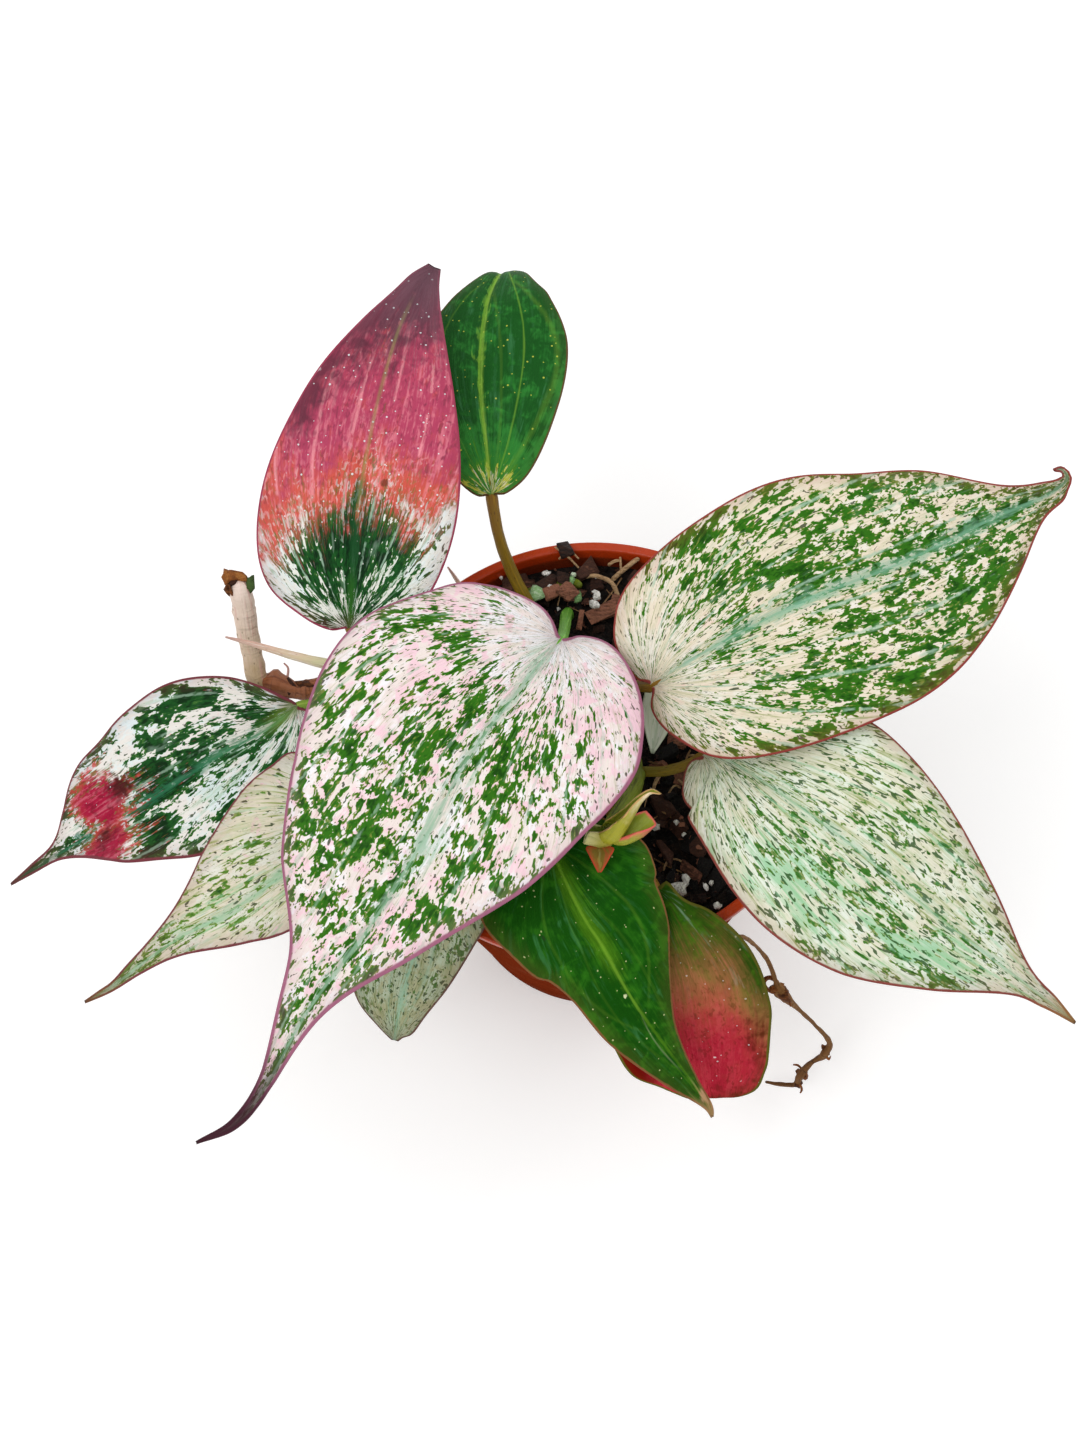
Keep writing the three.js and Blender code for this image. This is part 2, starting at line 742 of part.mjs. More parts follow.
function potGeometry() {
  const shoulder = POT_HEIGHT - LIP_HEIGHT;
  const profile = [
    [0, 0],
    [BASE_RADIUS - RIM_ROUND, 0],
    [BASE_RADIUS, RIM_ROUND],
    [innerRadius(shoulder) + WALL, shoulder],
    [RIM_RADIUS, shoulder + LIP_STEP],
    [RIM_RADIUS, POT_HEIGHT - RIM_ROUND],
    [RIM_RADIUS - RIM_ROUND, POT_HEIGHT],
    [innerRadius(POT_HEIGHT) + RIM_ROUND, POT_HEIGHT],
    [innerRadius(POT_HEIGHT), POT_HEIGHT - RIM_ROUND],
    [innerRadius(FLOOR), FLOOR],
    [0, FLOOR],
  ];
  const points = profile.map(([radius, height]) => new THREE.Vector2(radius, height));
  const shell = new THREE.LatheGeometry(points, POT_SEGMENTS);
  shell.rotateX(Math.PI / 2);
  let body = solid(shell);
  for (let index = 0; index < DRAIN_COUNT; index += 1) {
    const angle = (2 * Math.PI * (index + 0.5)) / DRAIN_COUNT;
    const drain = new THREE.CylinderGeometry(DRAIN_RADIUS, DRAIN_RADIUS, 4 * FLOOR, DRAIN_SIDES);
    drain.rotateX(Math.PI / 2);
    drain.translate(DRAIN_CIRCLE * Math.cos(angle), DRAIN_CIRCLE * Math.sin(angle), FLOOR / 2);
    body = body.subtract(solid(drain));
  }
  return geometryOf(body);
}

// Soil

// Single pieces seen on top of the soil: place, size and turn of each bark chip
const PLACED_CHIPS = [
  { at: [-1.8, 37, 85.2], size: [6.4, 5.4, 1.3], turn: [0.5, 0.1, 0.2] },
  { at: [8.1, 31, 83.6], size: [7, 4.6, 2.4], turn: [0.2, -0.2, 0.5] },
  { at: [10.4, 24.6, 83.4], size: [6, 4.6, 2.6], turn: [0, 0.3, 1.2] },
  { at: [-12.5, 43, 83.2], size: [7, 3.4, 2], turn: [0.2, 0.1, 0.3] },
  { at: [16, 39, 83.4], size: [6.5, 4, 2.2], turn: [-0.2, 0.2, 2.2] },
  { at: [21, -26, 83.2], size: [6, 4.4, 2.4], turn: [0.1, -0.2, 0.8] },
  { at: [13, -27, 83.2], size: [6.4, 4, 2.2], turn: [0.2, 0.2, 2.4] },
];

// A loose chip that lies across the back of the rim
const RIM_CHIP = { at: [-0.3, 47.6, 87.7], size: [3.4, 5, 1.9], turn: [0.1, 0.15, 0.3] };

// Perlite grains seen on top of the soil: place and radius
const PLACED_PERLITE = [
  [[4.9, 35.2, 84], 1.3],
  [[6.1, 37.8, 83.6], 0.9],
  [[15.4, -35, 84], 1.6],
  [[19.3, -30.9, 83.6], 1],
  [[11.9, -21, 83.4], 0.8],
  [[21.2, -35.9, 83.4], 0.8],
];

// Bits of twig and root lying on the soil
const TWIGS = [
  { points: [[11.4, 41, 82.6], [13, 41.8, 83.8], [16.6, 43.6, 85]], radius: 0.55 },
  {
    points: [
      [1.6, 42, 82.4], [3.4, 41.8, 84], [6.4, 41, 84.8], [9.4, 39.2, 84.4],
      [10.6, 36.4, 82.4],
    ],
    radius: 0.5,
  },
  { points: [[12, -13.6, 82], [13, -11.2, 84.2], [15.2, -8, 82.4]], radius: 0.45 },
];

function soilHeight(x, y) {
  const broad = Math.sin(0.21 * x + 1.3) * Math.cos(0.17 * y - 0.4);
  const fine = Math.sin(0.63 * x - 0.5 * y) * Math.cos(0.58 * y + 0.3 * x);
  return SOIL_TOP + SOIL_RELIEF * (0.6 * broad + 0.4 * fine);
}

// The filling of the pot, with GAP between it and the wall.
// Its flats lie inside the true circle, so the same gap is kept all round.
function soilBody() {
  const rings = SOIL_RINGS;
  const spokes = SOIL_SPOKES;
  const bottom = FLOOR + GAP;
  const wallGap = GAP + 0.1;
  const shoulder = SOIL_TOP - SOIL_RELIEF;
  const edge = innerRadius(shoulder) - wallGap;
  const positions = [0, 0, soilHeight(0, 0)];
  const triangles = [];
  for (let ring = 1; ring <= rings; ring += 1) {
    for (let spoke = 0; spoke < spokes; spoke += 1) {
      const angle = (2 * Math.PI * spoke) / spokes;
      const radius = (edge * ring) / rings;
      const x = radius * Math.cos(angle);
      const y = radius * Math.sin(angle);
      positions.push(x, y, ring === rings ? shoulder : soilHeight(x, y));
    }
  }
  const foot = positions.length / 3;
  for (let spoke = 0; spoke < spokes; spoke += 1) {
    const angle = (2 * Math.PI * spoke) / spokes;
    const radius = innerRadius(bottom) - wallGap;
    positions.push(radius * Math.cos(angle), radius * Math.sin(angle), bottom);
  }
  const middle = positions.length / 3;
  positions.push(0, 0, bottom);
  for (let spoke = 0; spoke < spokes; spoke += 1) {
    const next = (spoke + 1) % spokes;
    triangles.push(0, 1 + spoke, 1 + next);
    for (let ring = 0; ring < rings; ring += 1) {
      const inner = 1 + ring * spokes;
      const outer = ring === rings - 1 ? foot : inner + spokes;
      triangles.push(inner + spoke, outer + spoke, outer + next);
      triangles.push(inner + spoke, outer + next, inner + next);
    }
    triangles.push(middle, foot + next, foot + spoke);
  }
  return solid(closedGeometry(positions, triangles));
}

// A bark chip: a block with its corners pushed about
function chip(size, place, turn) {
  const block = mergeVertices(bareBox(size));
  const corners = block.attributes.position;
  for (let index = 0; index < corners.count; index += 1) {
    corners.setXYZ(
      index,
      corners.getX(index) * between(0.72, 1.05),
      corners.getY(index) * between(0.75, 1.05),
      corners.getZ(index) * between(0.8, 1.1),
    );
  }
  block.rotateX(turn[0]);
  block.rotateY(turn[1]);
  block.rotateZ(turn[2]);
  block.translate(place[0], place[1], place[2]);
  return block;
}

function bareBox(size) {
  const box = new THREE.BoxGeometry(size[0], size[1], size[2]);
  box.deleteAttribute('normal');
  box.deleteAttribute('uv');
  return box;
}

// A place on the soil, clear of the pot's wall
function soilPlace(clearance) {
  const angle = between(0, 2 * Math.PI);
  const radius = (innerRadius(SOIL_TOP) - clearance) * Math.sqrt(random());
  return [radius * Math.cos(angle), radius * Math.sin(angle)];
}

function perlite(radius, centre) {
  const grain = new THREE.IcosahedronGeometry(radius, 0);
  grain.rotateX(between(0, Math.PI));
  grain.rotateZ(between(0, Math.PI));
  grain.translate(centre[0], centre[1], centre[2]);
  return solid(grain);
}

function soilGeometry(standing) {
  let body = soilBody();
  PLACED_CHIPS.forEach((piece) => {
    body = body.add(solid(chip(piece.size, piece.at, piece.turn)));
  });
  PLACED_PERLITE.forEach(([centre, radius]) => {
    body = body.add(perlite(radius, centre));
  });
  TWIGS.forEach((twig) => {
    const radii = twig.points.map(() => twig.radius);
    body = body.add(solid(stem(twig.points, radii, TWIG_SIDES, 2 * twig.points.length)));
  });
  for (let index = 0; index < CHIP_COUNT; index += 1) {
    const length = between(4, 10);
    const size = [length, length * between(0.4, 0.8), between(1.4, 3)];
    const [x, y] = soilPlace(0.62 * length + 1.2);
    const turn = [between(-0.5, 0.5), between(-0.5, 0.5), between(0, Math.PI)];
    body = body.add(solid(chip(size, [x, y, soilHeight(x, y) + 0.3], turn)));
  }
  for (let index = 0; index < PERLITE_COUNT; index += 1) {
    const radius = between(0.8, 1.7);
    const [x, y] = soilPlace(radius + 1.2);
    body = body.add(perlite(radius, [x, y, soilHeight(x, y) + 0.45 * radius]));
  }
  standing.forEach((hole) => {
    body = body.subtract(hole);
  });
  return geometryOf(largest(body));
}

// Where a stalk meets its blade: just under the notch
function petioleTop(leaf, radius) {
  const rib = lengthCurve(leaf.midrib);
  const { point, facing } = bladeSurface(leaf, rib, 0, 0);
  point.addScaledVector(facing, -EDGE_THICKNESS / 2 - leaf.ribDepth - 0.5 * radius);
  return point.toArray();
}

// Assembly

const plant = new THREE.Group();

function place(name, geometry, look) {
  geometry.computeVertexNormals();
  const mesh = new THREE.Mesh(geometry, look);
  mesh.name = name;
  plant.add(mesh);
}

// The space that each stem takes up, with the gap round it
const stemSpace = {};

// A body cut back from the stems that it is fitted to
function cleared(body, fitted) {
  const cut = fitted.reduce((left, other) => left.subtract(stemSpace[other]), body);
  return geometryOf(largest(cut));
}

Object.entries(STEMS).forEach(([name, part]) => {
  const body = solid(stem(part.points, part.radii, STEM_SIDES, part.steps));
  const bare = cleared(body, part.fitted ?? []);
  stemSpace[name] = solid(stem(part.points, part.radii, STEM_SIDES, part.steps, GAP));
  place(name, bare, part.material);
});

Object.entries(LEAVES).forEach(([name, leaf]) => {
  place(name, cleared(solid(blade(leaf)), leaf.fitted ?? []), leaf.material);
});

Object.entries(PETIOLES).forEach(([name, part]) => {
  const points = [petioleTop(LEAVES[name], part.radius), ...part.points];
  const radii = points.map((_, index) => part.radius * (index === 1 ? STALK_NECK : 1));
  const steps = 2 * points.length;
  const whole = solid(stem(points, radii, STEM_SIDES, steps));
  const body = whole.subtract(solid(blade(LEAVES[name], GAP)));
  const stalk = name.replace('leaf', 'petiole');
  place(stalk, cleared(body, part.fitted ?? []), part.material);
  if (!part.fitted) {
    stemSpace[stalk] = solid(stem(points, radii, STEM_SIDES, steps, GAP));
  }
});

Object.entries(ROOTS).forEach(([name, part]) => {
  const body = solid(stem(part.points, part.radii, ROOT_SIDES, part.steps));
  const bare = cleared(body, part.fitted ?? []);
  stemSpace[name] = solid(stem(part.points, part.radii, ROOT_SIDES, part.steps, GAP));
  place(name, bare, MATERIAL.root);
});

place('pot', potGeometry(), MATERIAL.terracotta);
place('soil', soilGeometry(Object.values(stemSpace)), MATERIAL.soil);
const rimChip = chip(RIM_CHIP.size, RIM_CHIP.at, RIM_CHIP.turn);
place('bark_chip_on_rim', rimChip, MATERIAL.bark);

export default plant;
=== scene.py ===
"""A potted trailing philodendron with marbled heart leaves, in its nursery pot.

Positions are written in millimetres in the model's own frame (+Z up, origin under the pot) and
turned into metres where a mesh is made.
"""
import math
import random

import bmesh
import bpy
import numpy as np
from mathutils import Matrix, Vector, noise


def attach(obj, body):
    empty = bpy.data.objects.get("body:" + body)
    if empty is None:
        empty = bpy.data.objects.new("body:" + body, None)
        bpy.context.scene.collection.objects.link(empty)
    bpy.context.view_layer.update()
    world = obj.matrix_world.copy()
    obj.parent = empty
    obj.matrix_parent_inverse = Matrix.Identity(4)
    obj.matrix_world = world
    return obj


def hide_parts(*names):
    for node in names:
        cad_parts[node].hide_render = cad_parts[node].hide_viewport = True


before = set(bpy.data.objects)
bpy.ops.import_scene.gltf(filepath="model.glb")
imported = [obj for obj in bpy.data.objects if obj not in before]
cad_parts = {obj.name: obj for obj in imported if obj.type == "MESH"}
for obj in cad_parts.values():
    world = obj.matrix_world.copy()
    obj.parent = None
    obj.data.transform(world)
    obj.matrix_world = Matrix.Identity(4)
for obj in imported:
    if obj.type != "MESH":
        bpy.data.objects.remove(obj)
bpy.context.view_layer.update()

MM = 0.001
BODY = "root"

# Camera: where it looks, how far off it stands, and its focal length in photo pixels
PHOTO_HEIGHT = 1448
FOCAL_PIXELS = 1700
SENSOR = 36.0
CAMERA_TARGET = Vector((-9.7, 4.9, 86.0))
CAMERA_DISTANCE = 372.0
CAMERA_ELEVATION = math.radians(64.8)
CAMERA_ROLL = math.radians(-6.3)

# Pot and filling
POT_HEIGHT = 86
RIM_RADIUS = 50
BASE_RADIUS = 34.8
WALL = 1.7
FLOOR = 2
LIP_HEIGHT = 2.6
LIP_STEP = 0.6
DRAIN_COUNT = 6
DRAIN_RADIUS = 3.5
DRAIN_CIRCLE = 23
SOIL_TOP = 82.4
SOIL_RELIEF = 0.9
STEM_FOOT = 66
GAP = 0.3

# Blade section
RIB_DEPTH = 0.6
NOTCH_HALF_WIDTH = 0.9
TIP_HALF_WIDTH = 0.35
VEIN_LEAD = 1.25
LEFT_RIPPLE_LEAD = 1.7
BLADE_HALF_THICKNESS = 0.2
BLADE_CELL = 0.95
EDGE_BAND = 1.3
EDGE_STEPS = (0.66, 0.38, 0.18, 0.06, 0.0)
RIM_SAMPLES = 500
BATCH = 2000
VEIN_SPACING = 7.5
GROOVE = 0.32
QUILT = 0.09


def rgb(code):
    """A scene colour from a web colour such as c8401c."""
    parts = [int(code[i:i + 2], 16) / 255 for i in (0, 2, 4)]
    return tuple(p / 12.92 if p <= 0.04045 else ((p + 0.055) / 1.055) ** 2.4 for p in parts)


# Formulas for materials

class Field:
    """A number, colour or vector that changes over a surface, for use in formulas."""

    def __init__(self, shader, socket):
        self.shader = shader
        self.socket = socket

    def __add__(self, other):
        return self.shader.math("ADD", self, other)

    def __radd__(self, other):
        return self.shader.math("ADD", other, self)

    def __sub__(self, other):
        return self.shader.math("SUBTRACT", self, other)

    def __rsub__(self, other):
        return self.shader.math("SUBTRACT", other, self)

    def __mul__(self, other):
        return self.shader.math("MULTIPLY", self, other)

    def __rmul__(self, other):
        return self.shader.math("MULTIPLY", other, self)

    def __truediv__(self, other):
        return self.shader.math("DIVIDE", self, other)


class Shader:
    """One material, built from formulas. Colours are fields or web colours such as c8401c."""

    def __init__(self, name):
        self.material = bpy.data.materials.new(name)
        self.material.use_nodes = True
        self.tree = self.material.node_tree
        self.tree.nodes.clear()
        self.surface = self.node("BsdfPrincipled")
        output = self.node("OutputMaterial")
        self.tree.links.new(self.surface.outputs["BSDF"], output.inputs["Surface"])

    def node(self, kind, inputs=None):
        """A new node, with a value or a field plugged into each input that is given."""
        node = self.tree.nodes.new("ShaderNode" + kind)
        for key, value in (inputs or {}).items():
            self.plug(value, node.inputs[key])
        return node

    def plug(self, value, socket):
        if isinstance(value, Field):
            self.tree.links.new(value.socket, socket)
        elif isinstance(value, str):
            socket.default_value = (*rgb(value), 1)
        else:
            socket.default_value = value

    def math(self, operation, *values):
        node = self.node("Math", dict(enumerate(values)))
        node.operation = operation
        return Field(self, node.outputs[0])

    def clamp(self, value):
        return Field(self, self.node("Clamp", {"Value": value}).outputs[0])

    def ease(self, value, low, high):
        """0 below low, 1 above high, and smooth between them."""
        node = self.node("MapRange", {"Value": value, "From Min": low, "From Max": high})
        node.interpolation_type = "SMOOTHSTEP"
        return Field(self, node.outputs["Result"])

    def mix(self, share, first, second):
        node = self.node("Mix")
        node.data_type = "RGBA"
        for socket, value in ((0, share), (6, first), (7, second)):
            self.plug(value, node.inputs[socket])
        return Field(self, node.outputs[2])

    def data(self, name, part="Fac"):
        node = self.node("Attribute")
        node.attribute_name = name
        return Field(self, node.outputs[part])

    def place(self, scale=1 / MM):
        """Position on the piece, in millimetres unless another scale is given."""
        spot = Field(self, self.node("TexCoord").outputs["Object"])
        return self.scaled(spot, (scale, scale, scale))

    def split(self, vector):
        return [Field(self, part) for part in self.node("SeparateXYZ", {0: vector}).outputs]

    def scaled(self, vector, scale, shift=(0, 0, 0)):
        node = self.node("Mapping", {"Vector": vector, "Scale": scale, "Location": shift})
        return Field(self, node.outputs[0])

    def noise(self, vector, scale, detail, roughness, distortion=0, shift=(0, 0, 0)):
        """Noise about 0, mostly between -0.5 and 0.5."""
        spot = self.scaled(vector, scale, shift)
        node = self.node("TexNoise", {
            "Vector": spot, "Scale": 1, "Detail": detail, "Roughness": roughness,
            "Distortion": distortion,
        })
        return Field(self, node.outputs["Fac"]) * 2.0 - 1.0

    def cells(self, vector, scale, shift=(0, 0, 0)):
        """Distance to the nearest scattered point, and a number of that point's own."""
        spot = self.scaled(vector, scale, shift)
        node = self.node("TexVoronoi", {"Vector": spot, "Scale": 1})
        own = self.node("SeparateColor")
        self.tree.links.new(node.outputs["Color"], own.inputs[0])
        return Field(self, node.outputs["Distance"]), Field(self, own.outputs[0])

    def bump(self, height, distance):
        node = self.node("Bump", {"Distance": distance, "Height": height})
        self.tree.links.new(node.outputs["Normal"], self.surface.inputs["Normal"])

    def finish(self, colour, roughness, **settings):
        self.plug(colour, self.surface.inputs["Base Color"])
        self.plug(roughness, self.surface.inputs["Roughness"])
        for name, value in settings.items():
            self.plug(value, self.surface.inputs[name.replace("_", " ")])
        return self.material


# Curves and blades, as in the solids

class LengthCurve:
    """A smooth curve through points, followed by its length and straight on before its start."""

    DIVISIONS = 400

    def __init__(self, points):
        points = np.asarray(points, float)
        ends = np.vstack([2 * points[0] - points[1], points, 2 * points[-1] - points[-2]])
        spans = len(points) - 1
        place = np.linspace(0, spans, self.DIVISIONS + 1)
        index = np.minimum(place.astype(int), spans - 1)
        t = (place - index)[:, None]
        p0, p1, p2, p3 = (ends[index + k] for k in range(4))
        v0 = (p2 - p0) / 2
        v1 = (p3 - p1) / 2
        cubic = (2 * p1 - 2 * p2 + v0 + v1) * t ** 3
        square = (-3 * p1 + 3 * p2 - 2 * v0 - v1) * t ** 2
        self.samples = cubic + square + v0 * t + p1
        steps = np.linalg.norm(np.diff(self.samples, axis=0), axis=1)
        self.lengths = np.concatenate([[0], np.cumsum(steps)])
        self.places = place / spans
        self.length = self.lengths[-1]

    def inside(self, along):
        columns = [np.interp(along, self.lengths, column) for column in self.samples.T]
        return np.stack(columns, axis=-1)

    def tangent(self, along):
        centre = np.clip(along, 1, self.length - 1)
        return unit(self.inside(centre + 1) - self.inside(centre - 1))

    def point(self, along):
        along = np.asarray(along, float)
        before = np.minimum(along, 0)[..., None]
        start = self.tangent(np.zeros_like(along))
        return self.inside(np.clip(along, 0, self.length)) + before * start


def unit(vectors):
    return vectors / np.linalg.norm(vectors, axis=-1, keepdims=True)


def blade_surface(leaf, rib, along, across):
    """Points of the blade's middle surface and the way they face, as the solids have them."""
    tangent = rib.tangent(along)
    share = np.clip(along / rib.length, 0, 1)[..., None]
    face = unit(np.array(leaf["face_base"]) * (1 - share) + np.array(leaf["face_tip"]) * share)
    side = unit(np.cross(tangent, face))
    normal = np.cross(side, tangent)
    reach = np.abs(across)
    way = np.sign(across)
    angle = leaf["fold"] - leaf["bend"] * reach
    out = (math.sin(leaf["fold"]) - np.sin(angle)) / leaf["bend"]
    phase = leaf["phase"] + np.where(across > 0, 0, LEFT_RIPPLE_LEAD)
    ripple = leaf["wave"] * (reach / leaf["half_width"]) ** 2
    rise = (np.cos(angle) - math.cos(leaf["fold"])) / leaf["bend"]
    rise = rise + ripple * np.sin(2 * math.pi * along / leaf["wave_length"] + phase)
    points = rib.point(along) + side * (way * out)[..., None] + normal * rise[..., None]
    facing = normal * np.cos(angle)[..., None] - side * (way * np.sin(angle))[..., None]
    return points, unit(facing)


